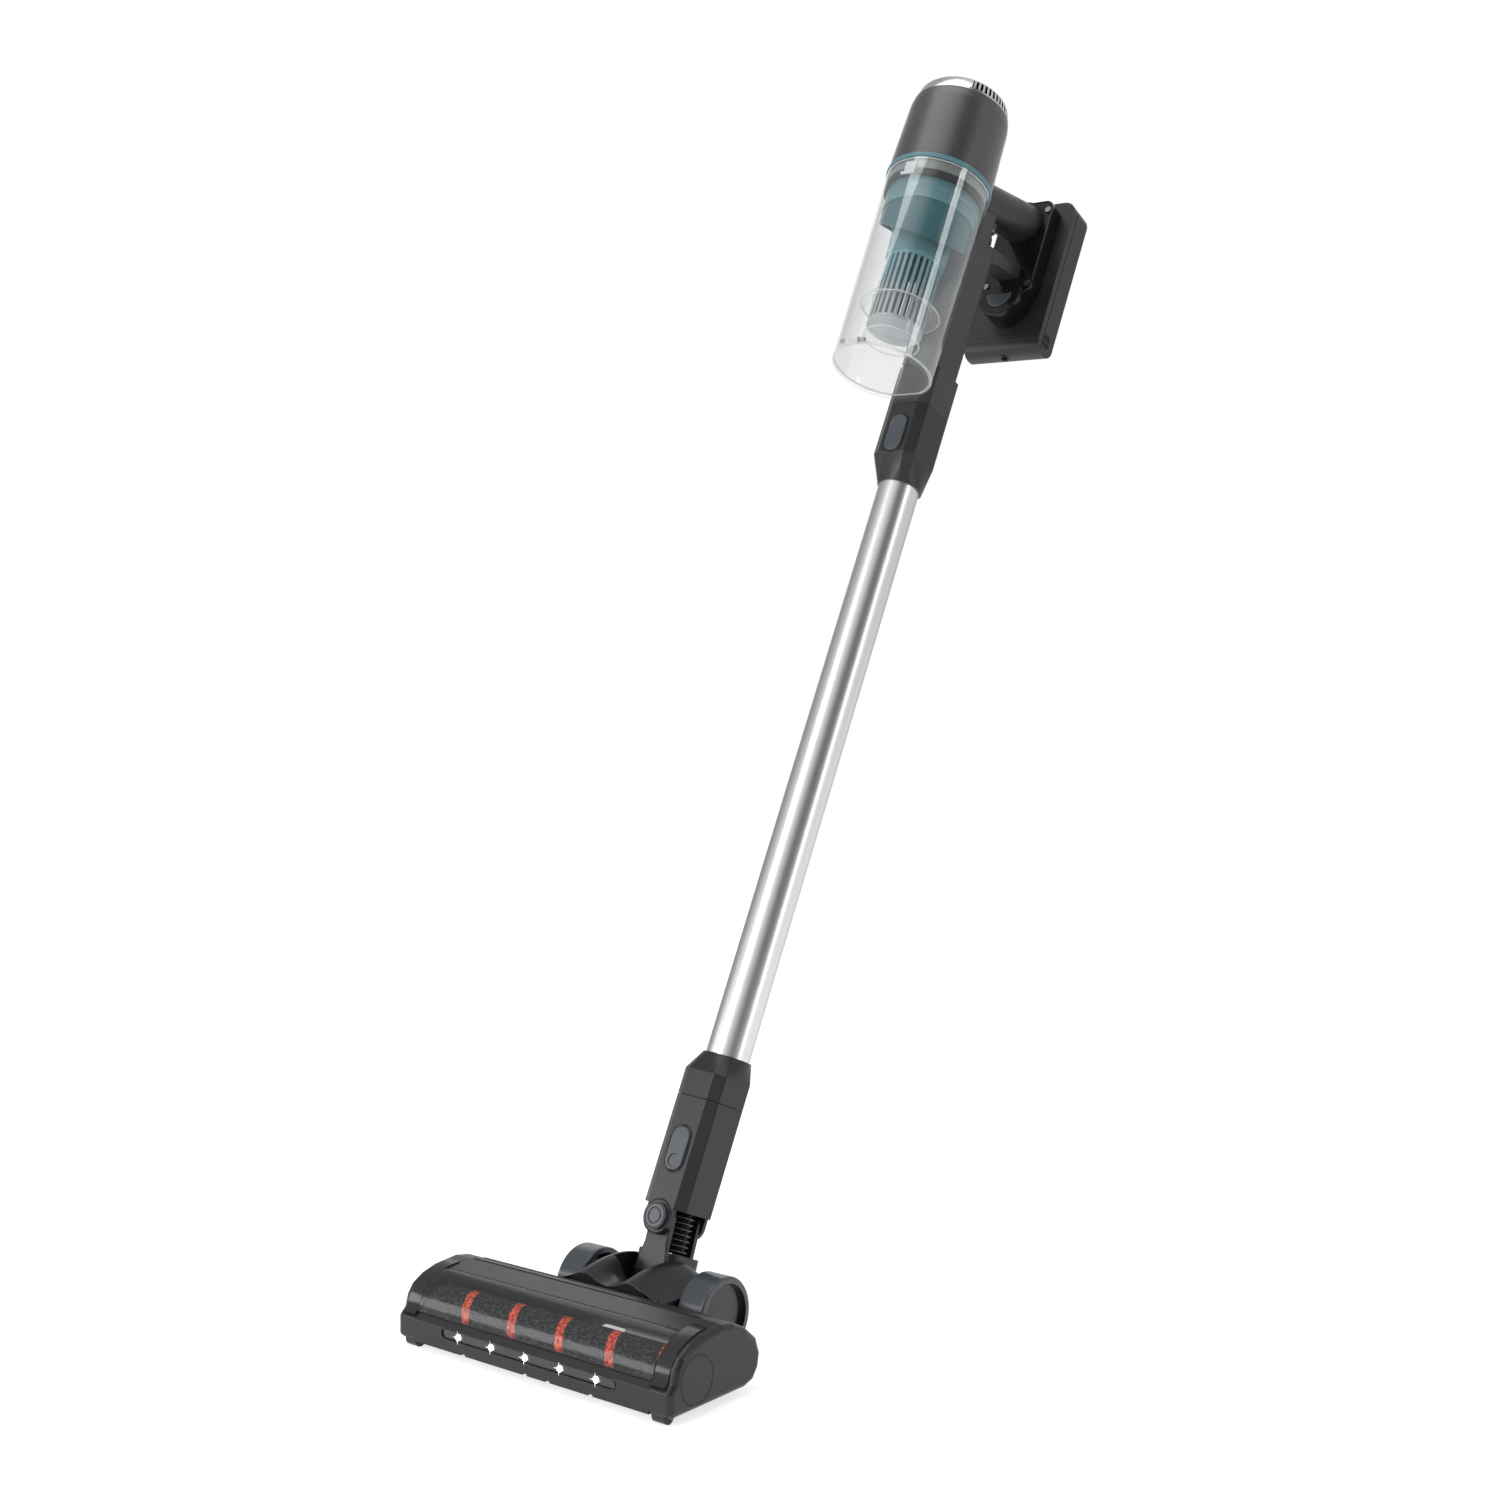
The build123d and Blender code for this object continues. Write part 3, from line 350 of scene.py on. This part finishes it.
# ---- mesh helpers (millimetres in a local frame) ------------------------------------------
def piece(name, bm, place, body, finish, smooth=35.0, bevel=0.0):
    bmesh.ops.recalc_face_normals(bm, faces=bm.faces)
    bm.transform(place)
    mesh = bpy.data.meshes.new(name)
    bm.to_mesh(mesh)
    bm.free()
    made = bpy.data.objects.new(name, mesh)
    bpy.context.scene.collection.objects.link(made)
    mesh.materials.append(finish.mat)
    if bevel:
        cut = made.modifiers.new("edges", "BEVEL")
        cut.width = bevel * MM
        cut.segments = 3
        cut.limit_method = "ANGLE"
        cut.angle_limit = math.radians(32)
    for polygon in mesh.polygons:
        polygon.use_smooth = True
    mesh.set_sharp_from_angle(angle=math.radians(smooth))
    if isinstance(body, str):
        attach(made, body)
    else:
        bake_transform(made)
    return made


def lathe(profile, segments=128, start=0.0, end=360.0, closed=True):
    """(radius, height) points turned about Z; 0 degrees is the front and angles run to +X."""
    bm = bmesh.new()
    full = abs(end - start) >= 360
    steps = segments if full else segments + 1
    rings = []
    for i in range(steps):
        turn = math.radians(start + (end - start) * i / segments)
        rings.append([bm.verts.new((r * math.sin(turn), -r * math.cos(turn), z)) for r, z in profile])
    spans = len(profile) if closed else len(profile) - 1
    for i in range(segments):
        a, b = rings[i], rings[(i + 1) % steps]
        for j in range(spans):
            k = (j + 1) % len(profile)
            bm.faces.new((a[j], b[j], b[k], a[k]))
    if closed and not full:
        bm.faces.new(rings[0])
        bm.faces.new(rings[-1][::-1])
    bmesh.ops.remove_doubles(bm, verts=bm.verts, dist=0.001)
    return bm


def box(x, y, z, bm=None):
    """A box between the two values given for each axis."""
    bm = bm or bmesh.new()
    corners = [bm.verts.new((i, j, k)) for i in x for j in y for k in z]
    for face in ((0, 1, 3, 2), (4, 6, 7, 5), (0, 4, 5, 1), (2, 3, 7, 6), (0, 2, 6, 4), (1, 5, 7, 3)):
        bm.faces.new([corners[i] for i in face])
    return bm


def sweep(points, radius, closed=True, sides=8, bm=None):
    """A round bead along a line of points."""
    bm = bm or bmesh.new()
    points = [Vector(p) for p in points]
    count = len(points)
    rings = []
    for i, point in enumerate(points):
        before = points[i - 1] if closed or i else points[i]
        after = points[(i + 1) % count] if closed or i < count - 1 else points[i]
        tangent = (after - before).normalized()
        guide = Vector((0.31, 0.17, 0.93)) if abs(tangent.z) < 0.9 else Vector((1, 0, 0))
        side = tangent.cross(guide).normalized()
        up = tangent.cross(side)
        rings.append([bm.verts.new(point + radius * (side * math.cos(t) + up * math.sin(t)))
                      for t in (2 * math.pi * k / sides for k in range(sides))])
    last = count if closed else count - 1
    for i in range(last):
        a, b = rings[i], rings[(i + 1) % count]
        for k in range(sides):
            bm.faces.new((a[k], a[(k + 1) % sides], b[(k + 1) % sides], b[k]))
    if not closed:
        bm.faces.new(rings[0])
        bm.faces.new(rings[-1][::-1])
    return bm


def circle(radius, step=8, start=0, end=360):
    """(a, b) points round a circle; each user places the two axes."""
    turns = [math.radians(a) for a in range(start, end, step)]
    return [(radius * math.cos(t), radius * math.sin(t)) for t in turns]


def sheet(bm, rows):
    """Faces between neighbouring rows of vertices."""
    for a, b in zip(rows, rows[1:]):
        for j in range(len(a) - 1):
            bm.faces.new((a[j], b[j], b[j + 1], a[j + 1]))


def pill_line(width, height, z, y, steps=20):
    """The outline of an upright pill on a plane across Y."""
    half = width / 2
    points = []
    for sign, start in ((1, 0), (-1, 180)):
        centre = z + sign * (height / 2 - half)
        for i in range(steps + 1):
            turn = math.radians(start + 180 * i / steps)
            points.append((half * math.cos(turn), y, centre + half * math.sin(turn)))
    return points


# ---- dust cup -----------------------------------------------------------------------------
FLAT_BACK = CUP_FORWARD - 26.3
LID_HINGE_Y = CUP_FORWARD - 110.9
CUP_FOOT, CUP_TOP = 697, 872


def cup_loop(radius, z, steps=96):
    """The cup's section: a circle with a flat chord at the back."""
    reach = math.degrees(math.acos(min(1.0, FLAT_BACK / radius)))
    points = []
    for i in range(steps + 1):
        turn = math.radians(180 + reach + (360 - 2 * reach) * i / steps)
        points.append((radius * math.sin(turn), -radius * math.cos(turn), z))
    return points


def cup_skin(levels):
    """The cup's wall through (radius, height) levels."""
    bm = bmesh.new()
    rings = [[bm.verts.new(p) for p in cup_loop(r, z)] for r, z in levels]
    for low, high in zip(rings, rings[1:]):
        for i in range(len(low)):
            k = (i + 1) % len(low)
            bm.faces.new((low[i], low[k], high[k], high[i]))
    return bm


def cup_radius(z):
    return 42.5 + 2.5 * (z - CUP_FOOT) / 175.2


def cup_circle(radius, z):
    """Points round the cup's axis, from the front."""
    return [(radius * math.sin(math.radians(t)), -radius * math.cos(math.radians(t)), z)
            for t in range(0, 360, 5)]


shell = piece("cup_shell", cup_skin([(cup_radius(z), z) for z in (697.2, 699, 740, 790, 840, 871, 872.2)]),
              CUP, "dust_cup", cup_clear)
bm = sweep(cup_loop(cup_radius(CUP_FOOT) - 0.7, CUP_FOOT + 0.6), 0.7)
sweep(cup_loop(cup_radius(CUP_FOOT) - 2.2, CUP_FOOT + 0.4), 0.45, bm=bm)
sweep(cup_loop(cup_radius(CUP_TOP) - 0.8, CUP_TOP - 0.6), 0.6, bm=bm)
piece("cup_rims", bm, CUP, "dust_cup", rim_clear)
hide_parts("dust_cup")
# knuckle for the lid, the upright rib and the catch at the front
bm = lathe([(1.3, -6), (2.6, -6), (2.6, 6), (1.3, 6)], 32)
bm.transform(Matrix.Translation((0, LID_HINGE_Y, CUP_FOOT + 0.6)) @ Matrix.Rotation(math.radians(90), 4, "Y"))
piece("lid_knuckle", bm, CUP, "dust_cup", rim_clear)
RIB_TURN = math.radians(60)
rib_ends = ((cup_radius(828) - 0.5, 826), (cup_radius(866) - 0.5, 868))
rib_line = [(r * math.sin(RIB_TURN), -r * math.cos(RIB_TURN), z) for r, z in rib_ends]
piece("cup_rib", sweep(rib_line, 0.35, closed=False), CUP, "dust_cup", rim_clear)
catch = box((-5.2, 5.2), (-1.2, 1.0), (-5.5, 5.0))
box((-8.0, 2.5), (-1.6, 0.6), (-6.6, -4.4), catch)
catch.transform(Matrix.Rotation(math.radians(4), 4, "Z")
                @ Matrix.Translation((0, -cup_radius(864) + 0.4, 862.5)))
piece("cup_catch", catch, CUP, "dust_cup", rim_clear, bevel=0.5)

inner = piece("inner_shell", lathe([(0.4, 723.2), (22.6, 723.2), (24.0, 725), (24.9, 757)], 96, closed=False),
              CUP, "dust_cup", inner_clear)
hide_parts("inner_cup")
bm = sweep(cup_circle(24.0, 724.6), 0.5)
sweep(cup_circle(33.8, 752.4), 0.45, bm=bm)
sweep(cup_circle(25.2, 757.0), 0.45, bm=bm)
piece("inner_rims", bm, CUP, "dust_cup", rim_clear)

# ---- pill button frames -------------------------------------------------------------------
for name, z, body in (("wand_button_frame", 662, "wand"), ("neck_button_frame", 51.6, "neck_socket")):
    piece(name, sweep(pill_line(18.6, 35.6, z, -25.6), 0.75), STICK, body, gloss_black)


# ---- bellows ------------------------------------------------------------------------------
def bellows(radius, depth, length, folds, wall=1.0, steps=7):
    """A corrugated tube standing on its start."""
    profile = []
    for i in range(folds * steps + 1):
        fold = i / steps
        ripple = 0.5 - 0.5 * math.cos(2 * math.pi * fold)
        profile.append((radius - depth + depth * ripple ** 0.7, length * i / (folds * steps)))
    inside = [(r - wall, z) for r, z in profile[::-1]]
    return lathe(profile + inside, 72)


def crest_glint_rings(radius, length, folds):
    """Painted highlight: a pale ring on each fold of a corrugated tube, standing in for the glint on its
    crest.
    """
    bm = bmesh.new()
    for i in range(folds):
        z = length * (i + 0.5) / folds
        sweep([(a, b, z) for a, b in circle(radius)], 0.26, bm=bm)
    return bm


SWIVEL_LENGTH, SWIVEL_FOLDS = 33, 8
SWIVEL_PLACE = NECK @ Matrix.Translation((0, -1.0, -23.4))
SWIVEL_BEND = ("neck_yoke", "neck_socket", NECK @ Vector((0, -1, -22)), NECK @ Vector((0, -1, 8)))
PITCH_LENGTH, PITCH_FOLDS = 11.2, 4
PITCH_PLACE = HEAD @ Matrix.Translation((0, 66.4, 34)) @ Matrix.Rotation(math.radians(-90), 4, "X")
PITCH_BEND = ("floor_head", "neck_yoke", HEAD @ Vector((0, 66.4, 34)), HEAD @ Vector((0, 77.6, 34)))
swivel = piece("swivel_bellows", bellows(12.5, 2.2, SWIVEL_LENGTH, SWIVEL_FOLDS), SWIVEL_PLACE,
               SWIVEL_BEND, rubber)
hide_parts("swivel_hose")
pitch = piece("pitch_bellows", bellows(12.0, 2.0, PITCH_LENGTH, PITCH_FOLDS), PITCH_PLACE,
              PITCH_BEND, rubber)
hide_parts("pitch_hose")
# the pale rings on the bellows' crests are painted highlights
piece("swivel_hose_glint", crest_glint_rings(12.55, SWIVEL_LENGTH, SWIVEL_FOLDS), SWIVEL_PLACE,
      SWIVEL_BEND, crest_glint_finish)
piece("pitch_hose_glint", crest_glint_rings(12.05, PITCH_LENGTH, PITCH_FOLDS), PITCH_PLACE,
      PITCH_BEND, crest_glint_finish)
for side, word in ((-1, "left"), (1, "right")):
    cap_line = [(side * 132.15, ROLLER_Y + a, 25 + b) for a, b in circle(16.1, 6)]
    piece("roller_cap_line_" + word, sweep(cap_line, 0.45), HEAD, "floor_head", band_gloss)


# ---- floor head window --------------------------------------------------------------------
def arc_through(a, b, c, steps):
    """Points on the circle through three (y, z) points."""
    ax, ay, bx, by, cx, cy = *a, *b, *c
    d = 2 * (ax * (by - cy) + bx * (cy - ay) + cx * (ay - by))
    a2, b2, c2 = ax**2 + ay**2, bx**2 + by**2, cx**2 + cy**2
    ux = (a2 * (by - cy) + b2 * (cy - ay) + c2 * (ay - by)) / d
    uy = (a2 * (cx - bx) + b2 * (ax - cx) + c2 * (bx - ax)) / d
    r = math.hypot(ax - ux, ay - uy)
    t0 = math.atan2(ay - uy, ax - ux) % (2 * math.pi)
    t1 = math.atan2(cy - uy, cx - ux) % (2 * math.pi)
    turns = [t0 + (t1 - t0) * i / steps for i in range(steps + 1)]
    return [(ux + r * math.cos(turn), uy + r * math.sin(turn)) for turn in turns]


pane_line = arc_through((-42.3, 26.4), (-34.6, 42.3), (-12.8, 51.6), 24)
bm = bmesh.new()
sheet(bm, [[bm.verts.new((x, y, z)) for y, z in pane_line] for x in (-113.6, -60, 0, 60, 113.6)])
pane = piece("window_pane", bm, HEAD, "floor_head", window_clear)
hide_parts("window")
bm = sweep([(x, -42.1, 26.9) for x in (-113.4, 113.4)], 0.5, closed=False)
sweep([(x, -12.9, 51.5) for x in (-113.4, 113.4)], 0.45, closed=False, bm=bm)
piece("window_edges", bm, HEAD, "floor_head", band_gloss)

# ---- exhaust ring with its slots ----------------------------------------------------------
RING_OUT = [(41.5, 945.0), (41.2, 947.0), (40.1, 953.0), (38.6, 955.8), (36.5, 958.0)]


def ring_part(low, high, start, end, segments, bm=None):
    """The ring's wall between two of its profile points, over an arc."""
    outer = RING_OUT[low:high + 1]
    inner = [(r - 2.6, z - 0.4) for r, z in outer[::-1]]
    made = lathe(outer + inner, segments, start, end)
    if bm is None:
        return made
    mesh = bpy.data.meshes.new("part")
    made.to_mesh(mesh)
    made.free()
    bm.from_mesh(mesh)
    bpy.data.meshes.remove(mesh)
    return bm


slotted = ring_part(0, 1, 0, 360, 160)
ring_part(3, 4, 0, 360, 160, slotted)
PLAIN_HALF = 44  # degrees each side of the front without slots
ring_part(1, 3, -PLAIN_HALF, PLAIN_HALF, 60, slotted)
BARS = 46
BAR_HALF = 1.25
for i in range(BARS):
    turn = PLAIN_HALF + (360 - 2 * PLAIN_HALF) * (i + 0.5) / BARS
    ring_part(1, 3, turn - BAR_HALF, turn + BAR_HALF, 2, slotted)
ring = piece("exhaust_slotted_ring", slotted, CUP, "hand_unit", chrome, smooth=40)
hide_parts("exhaust_ring")
piece("exhaust_backing",
      lathe([(37.6, 946), (36.4, 952), (34.6, 956), (33.6, 955), (35.4, 951), (36.6, 946)], 96),
      CUP, "hand_unit", deep_black)


# ---- hand unit trim -----------------------------------------------------------------------
def round_rect(half_x, low, high, radius, y, steps=8):
    """A rounded rectangle on a plane across Y."""
    points = []
    for cx, cz, start in ((half_x - radius, high - radius, 0), (radius - half_x, high - radius, 90),
                          (radius - half_x, low + radius, 180), (half_x - radius, low + radius, 270)):
        for i in range(steps + 1):
            turn = math.radians(start + 90 * i / steps)
            points.append((cx + radius * math.cos(turn), y, cz + radius * math.sin(turn)))
    return points


POD_HEIGHT = 848
bm = sweep([(15.0, -24.6, z) for z in (728, 790, 860)], 1.0, closed=False)
sweep([(-15.0, -24.6, z) for z in (728, 790, 860)], 1.0, closed=False, bm=bm)
piece("spine_trim", bm, STICK, "hand_unit", gloss_black)
holder_line = round_rect(25.4, 852.6, 947.4, 8.6, 63.2)
piece("holder_rim", sweep(holder_line, 0.9), STICK, "hand_unit", gloss_black)
bm = sweep([(a, 57.4, POD_HEIGHT + b) for a, b in circle(20.2, 5, 158, 383)], 0.8, closed=False)
piece("pod_rim", bm, STICK, "hand_unit", gloss_black)
bm = bmesh.new()
for row in range(4):
    for column in range(-5, 6):
        x, z = column * 2.0 + (row % 2), 846.4 - row * 2.3
        if x * x + (z - POD_HEIGHT) ** 2 < 100:
            box((x - 0.62, x + 0.62), (54.8, 56), (z - 0.62, z + 0.62), bm)
piece("battery_button_studs", bm, STICK, "battery_button", slate, bevel=0.3)

# ---- battery detail -----------------------------------------------------------------------
BATTERY_SIDE = 39.0
bm = bmesh.new()
for side in (-1, 1):
    for i in range(-3, 4):
        height = 6.4 * math.sqrt(1 - (i / 3.9) ** 2)
        x, y, z = side * BATTERY_SIDE, 91.2 + i * 1.5, 817
        box((x - 0.35, x + 0.35), (y - 0.42, y + 0.42), (z - height, z - 0.7), bm)
        box((x - 0.35, x + 0.35), (y - 0.42, y + 0.42), (z + 0.7, z + height), bm)
piece("battery_vents", bm, STICK, "battery", deep_black, bevel=0.15)
bm = box((-38.4, 38.4), (77.9, 79.2), (813.4, 819.6))
piece("battery_lip", bm, STICK, "battery", charcoal_soft, bevel=0.6)
socket_line = [(a, 90.6 + b, 802.9) for a, b in circle(3.9, 10)]
piece("socket_rim", sweep(socket_line, 0.7), STICK, "battery", gloss_black)

# ---- neck, cup and grip trim --------------------------------------------------------------
bm = bmesh.new()
right_edge = [(10.4, 0), (10.4, -12), (11.0, -19), (13.0, -27.5), (15.5, -41)]
front_plate = [(-x, z) for x, z in right_edge] + right_edge[::-1]
near = [bm.verts.new((x, -20.5, z)) for x, z in front_plate]
far = [bm.verts.new((x, -16.4, z)) for x, z in front_plate]
bm.faces.new(near)
bm.faces.new(far[::-1])
for i in range(len(front_plate)):
    k = (i + 1) % len(front_plate)
    bm.faces.new((near[i], far[i], far[k], near[k]))
piece("yoke_fairing", bm, NECK, "neck_yoke", charcoal, bevel=1.3)
bm = sweep([(a, -28.7, b) for a, b in circle(9.0)], 0.5)
sweep([(a, -26.0, b) for a, b in circle(12.4)], 0.5, bm=bm)
piece("swivel_rings", bm, STICK, "neck_socket", gloss_black)
ROUND_HALF = 122  # degrees each side of the front where the cup is round
# partly painted shade: a dark band on the cup's round front, wider than the seal it covers, stands for the
# seal and the shade in the gap under the cup band
piece("seal_and_gap_shade",
      lathe([(43.3, 856.6), (43.5, 862.4), (41.0, 862.4), (41.0, 856.6)], 90, -ROUND_HALF, ROUND_HALF),
      CUP, "dust_cup", seal)
piece("cup_band",
      lathe([(41.4, 862.9), (42.6, 862.9), (42.9, 871.4), (41.6, 871.4)], 90, -ROUND_HALF, ROUND_HALF),
      CUP, "dust_cup", ring_grey, bevel=0.3)

bm = bmesh.new()
for side in (-1, 1):
    sweep([(side * BATTERY_SIDE, 85.2, z) for z in (806, 860, 945)], 0.35, closed=False, bm=bm)
piece("battery_seams", bm, STICK, "battery", gloss_black)
grip_line = [(a, b, 24.6) for a, b in circle(17.9, 6)]
piece("grip_ring", sweep(grip_line, 1.0), GRIP, "hand_unit", gloss_black)

# ---- floor head trim ----------------------------------------------------------------------
CAP_LINE = [(-46.1, 25.6), (-41.9, 27.2), (-39.6, 33.6), (-36.6, 39.6), (-31.4, 45.0),
            (-24.2, 49.2), (-12.4, 52.7), (-2.0, 53.6)]


def end_band(side):
    """A glossy strip that carries the window's line over the end of the head."""
    bm = bmesh.new()
    rows = []
    for x, lift in ((114.1, 0.25), (120.0, 0.42), (126.6, 0.30)):
        rows.append([bm.verts.new((side * x, y - lift * 0.7, z + lift * 0.7)) for y, z in CAP_LINE])
    low = [[bm.verts.new((side * x, y + 1.2, z - 1.2)) for y, z in CAP_LINE] for x in (114.1, 126.6)]
    for a, b in zip(rows, rows[1:]):
        for j in range(len(a) - 1):
            bm.faces.new((a[j], a[j + 1], b[j + 1], b[j]))
    for a, b in ((rows[0], low[0]), (rows[2], low[1])):
        for j in range(len(a) - 1):
            bm.faces.new((a[j], b[j], b[j + 1], a[j + 1]))
    return bm


for side, word in ((-1, "left"), (1, "right")):
    piece("end_band_" + word, end_band(side), HEAD, "floor_head", band_gloss, smooth=50)
LAMP_HEIGHT = 18
LAMP_STEP = 33.5
outline = [(z, -46.15, LAMP_HEIGHT + x) for x, _, z in pill_line(7.4, 169.4, 0, 0, 10)]
piece("light_strip_edge", sweep(outline, 0.45), HEAD, "floor_head", band_gloss)
# painted glare: a flat glowing star of rays in front of each lamp
bm = bmesh.new()
for i in range(5):
    x = (i - 2) * LAMP_STEP
    rim = []
    for k in range(16):
        turn = math.pi * k / 8
        reach = (5.1 if k % 4 == 0 else 2.7) if k % 2 == 0 else 0.8
        rim.append(bm.verts.new((x + reach * math.cos(turn), -46.7, LAMP_HEIGHT + reach * math.sin(turn))))
    bm.faces.new(rim)
piece("lamp_glare_stars", bm, HEAD, "floor_head", light)
bm = sweep([(x, 9.6, 54.1) for x in (-111, 111)], 0.35, closed=False)
sweep([(x, 20.2, 52.1) for x in (-111, 111)], 0.35, closed=False, bm=bm)
piece("cover_lines", bm, HEAD, "floor_head", band_gloss)


TAIL_FRONT = 35.6


def shoulder_height(x, y):
    """Top of the tail: a low saddle in the middle, a crest each side and a fall to the wheels."""
    across = abs(x)
    crest = math.exp(-((across - 22.0) / 13.0) ** 2)
    fall = max(0.0, (across - 30.0) / 17.0) ** 1.6
    rise = 1 - ((y - 68.0) / 46.0) ** 2
    drop = max(0.0, (y - 92) / 22.0) ** 1.5
    return 47.5 + 12.5 * crest * max(0.0, rise) - 6.5 * fall - 12.0 * drop


def foot_height(y, front, back):
    """Underside of the tail: it steps down behind the cover."""
    return front if y < 40 else (30 if y < 48 else back)


def shoulder(side):
    """One side of the tail, from the hinge out to the wheel."""
    bm = bmesh.new()
    xs = [20.6 + 26.4 * i / 14 for i in range(15)]
    ys = [TAIL_FRONT + 77.0 * j / 22 for j in range(23)]
    top = [[bm.verts.new((side * x, y, shoulder_height(x, y))) for y in ys] for x in xs]
    foot = [[bm.verts.new((side * x, y, foot_height(y, 44.6, 10.5))) for y in ys] for x in (xs[0], xs[-1])]
    sheet(bm, top)
    for edge, low in ((top[0], foot[0]), (top[-1], foot[1])):
        for j in range(len(ys) - 1):
            bm.faces.new((edge[j], edge[j + 1], low[j + 1], low[j]))
    for j in range(len(ys) - 1):
        bm.faces.new((foot[0][j], foot[0][j + 1], foot[1][j + 1], foot[1][j]))
    for j in (0, len(ys) - 1):
        bm.faces.new([top[i][j] for i in range(len(xs))] + [foot[1][j], foot[0][j]])
    return bm


def saddle_dip(x, y):
    """How far the bridge sinks where the hose lies on it."""
    return 9.0 * max(0.0, (y - 50) / 16) * max(0.0, 1 - (x / 15) ** 2)


def saddle():
    """The bridge between the shoulders, in front of the hinge."""
    bm = bmesh.new()
    xs = [-20.7 + 41.4 * i / 20 for i in range(21)]
    ys = [TAIL_FRONT + 30.0 * j / 10 for j in range(11)]
    top = [[bm.verts.new((x, y, shoulder_height(x, y) - saddle_dip(x, y))) for y in ys] for x in xs]
    foot = [[bm.verts.new((x, y, foot_height(y, 44.4, 14))) for y in ys] for x in xs]
    sheet(bm, top)
    for a, b in zip(foot, foot[1:]):
        for j in range(len(ys) - 1):
            bm.faces.new((a[j], a[j + 1], b[j + 1], b[j]))
    for j in (0, len(ys) - 1):
        for i in range(len(xs) - 1):
            bm.faces.new((top[i][j], top[i + 1][j], foot[i + 1][j], foot[i][j]))
    return bm


for side, word in ((-1, "left"), (1, "right")):
    piece("shoulder_" + word, shoulder(side), HEAD, "floor_head", charcoal,
          smooth=40, bevel=1.6)
middle = piece("shoulder_bridge", saddle(), HEAD, "floor_head", charcoal, smooth=40)
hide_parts("rear_body")

# ---- stage, light and camera --------------------------------------------------------------
floor_bm = bmesh.new()
bmesh.ops.create_circle(floor_bm, cap_ends=True, segments=96, radius=14.0)
floor_mesh = bpy.data.meshes.new("stage_floor")
floor_bm.to_mesh(floor_mesh)
floor_bm.free()
floor = bpy.data.objects.new("stage_floor", floor_mesh)
bpy.context.scene.collection.objects.link(floor)
floor_mat = Mat("pale_floor", (0.55, 0.55, 0.55), 0.8, Emission_Color=(1.0, 1.0, 1.0), Emission_Strength=0.70,
                Specular_IOR_Level=0.1)
floor_mesh.materials.append(floor_mat.mat)

world = bpy.data.worlds.new("studio")
world.use_nodes = True
bpy.context.scene.world = world
nodes = world.node_tree.nodes
link = world.node_tree.links.new
background = nodes["Background"]
background.inputs["Color"].default_value = (1, 1, 1, 1)

# the light round the object is a ramp over the compass, so dark parts show bright and dark walls
STUDIO = ((0.0, 0.42), (0.10, 0.62), (0.18, 0.80), (0.30, 0.80), (0.40, 0.12), (0.50, 0.10),
          (0.58, 0.80), (0.72, 0.75), (1.0, 0.42))
walls = nodes.new("ShaderNodeValToRGB")
walls.color_ramp.interpolation = "EASE"
while len(walls.color_ramp.elements) < len(STUDIO):
    walls.color_ramp.elements.new(0.5)
for element, (spot, level) in zip(walls.color_ramp.elements, STUDIO):
    element.position = spot
    element.color = (level, level, level, 1)
direction = nodes.new("ShaderNodeTexCoord")
split = nodes.new("ShaderNodeSeparateXYZ")
link(direction.outputs["Generated"], split.inputs["Vector"])
azimuth = nodes.new("ShaderNodeMath")
azimuth.operation = "ARCTAN2"
link(split.outputs["Y"], azimuth.inputs[0])
link(split.outputs["X"], azimuth.inputs[1])
compass = nodes.new("ShaderNodeMapRange")
compass.inputs["From Min"].default_value = -math.pi
compass.inputs["From Max"].default_value = math.pi
link(azimuth.outputs[0], compass.inputs["Value"])
link(compass.outputs["Result"], walls.inputs["Fac"])

# the camera itself sees plain white behind the object
path = nodes.new("ShaderNodeLightPath")
shade = nodes.new("ShaderNodeMix")
shade.data_type = "FLOAT"
shade.inputs["B"].default_value = 1.0
link(walls.outputs["Color"], shade.inputs["A"])
link(path.outputs["Is Camera Ray"], shade.inputs["Factor"])
link(shade.outputs["Result"], background.inputs["Strength"])


def softbox(name, place, aim, size, watts):
    """A rectangular studio light aimed at a point, unseen by the camera."""
    data = bpy.data.lights.new(name, "AREA")
    data.shape = "RECTANGLE"
    data.size, data.size_y = size
    data.energy = watts
    made = bpy.data.objects.new(name, data)
    made.location = place
    made.rotation_euler = (Vector(aim) - Vector(place)).to_track_quat("-Z", "Y").to_euler()
    made.visible_camera = False
    bpy.context.scene.collection.objects.link(made)


softbox("key_left", (-0.5, -2.1, 1.2), (0.0, 0.0, 0.5), (0.62, 1.8), 22)
softbox("fill_right", (1.9, 0.25, 0.9), (0.0, 0.0, 0.5), (0.35, 1.9), 7)
softbox("overhead", (0.1, -0.5, 2.6), (0.0, -0.1, 0.4), (1.8, 1.2), 16)
softbox("front_band", (-1.6, -1.75, 0.6), (0.0, -0.3, 0.05), (1.3, 0.62), 12)
softbox("rear", (-1.3, 1.9, 1.4), (0.0, 0.0, 0.5), (2.2, 1.6), 7)

cam = bpy.data.cameras.new("camera")
cam.lens = 42.32
cam.sensor_width = 36
cam.clip_end = 60
camera = bpy.data.objects.new("camera", cam)
camera.location = (0.8738, -1.154545, 0.4361)
camera.rotation_euler = (math.radians(89.94), math.radians(0.04), math.radians(38.51))
bpy.context.scene.collection.objects.link(camera)
bpy.context.scene.camera = camera
bpy.context.scene.view_settings.view_transform = "Standard"
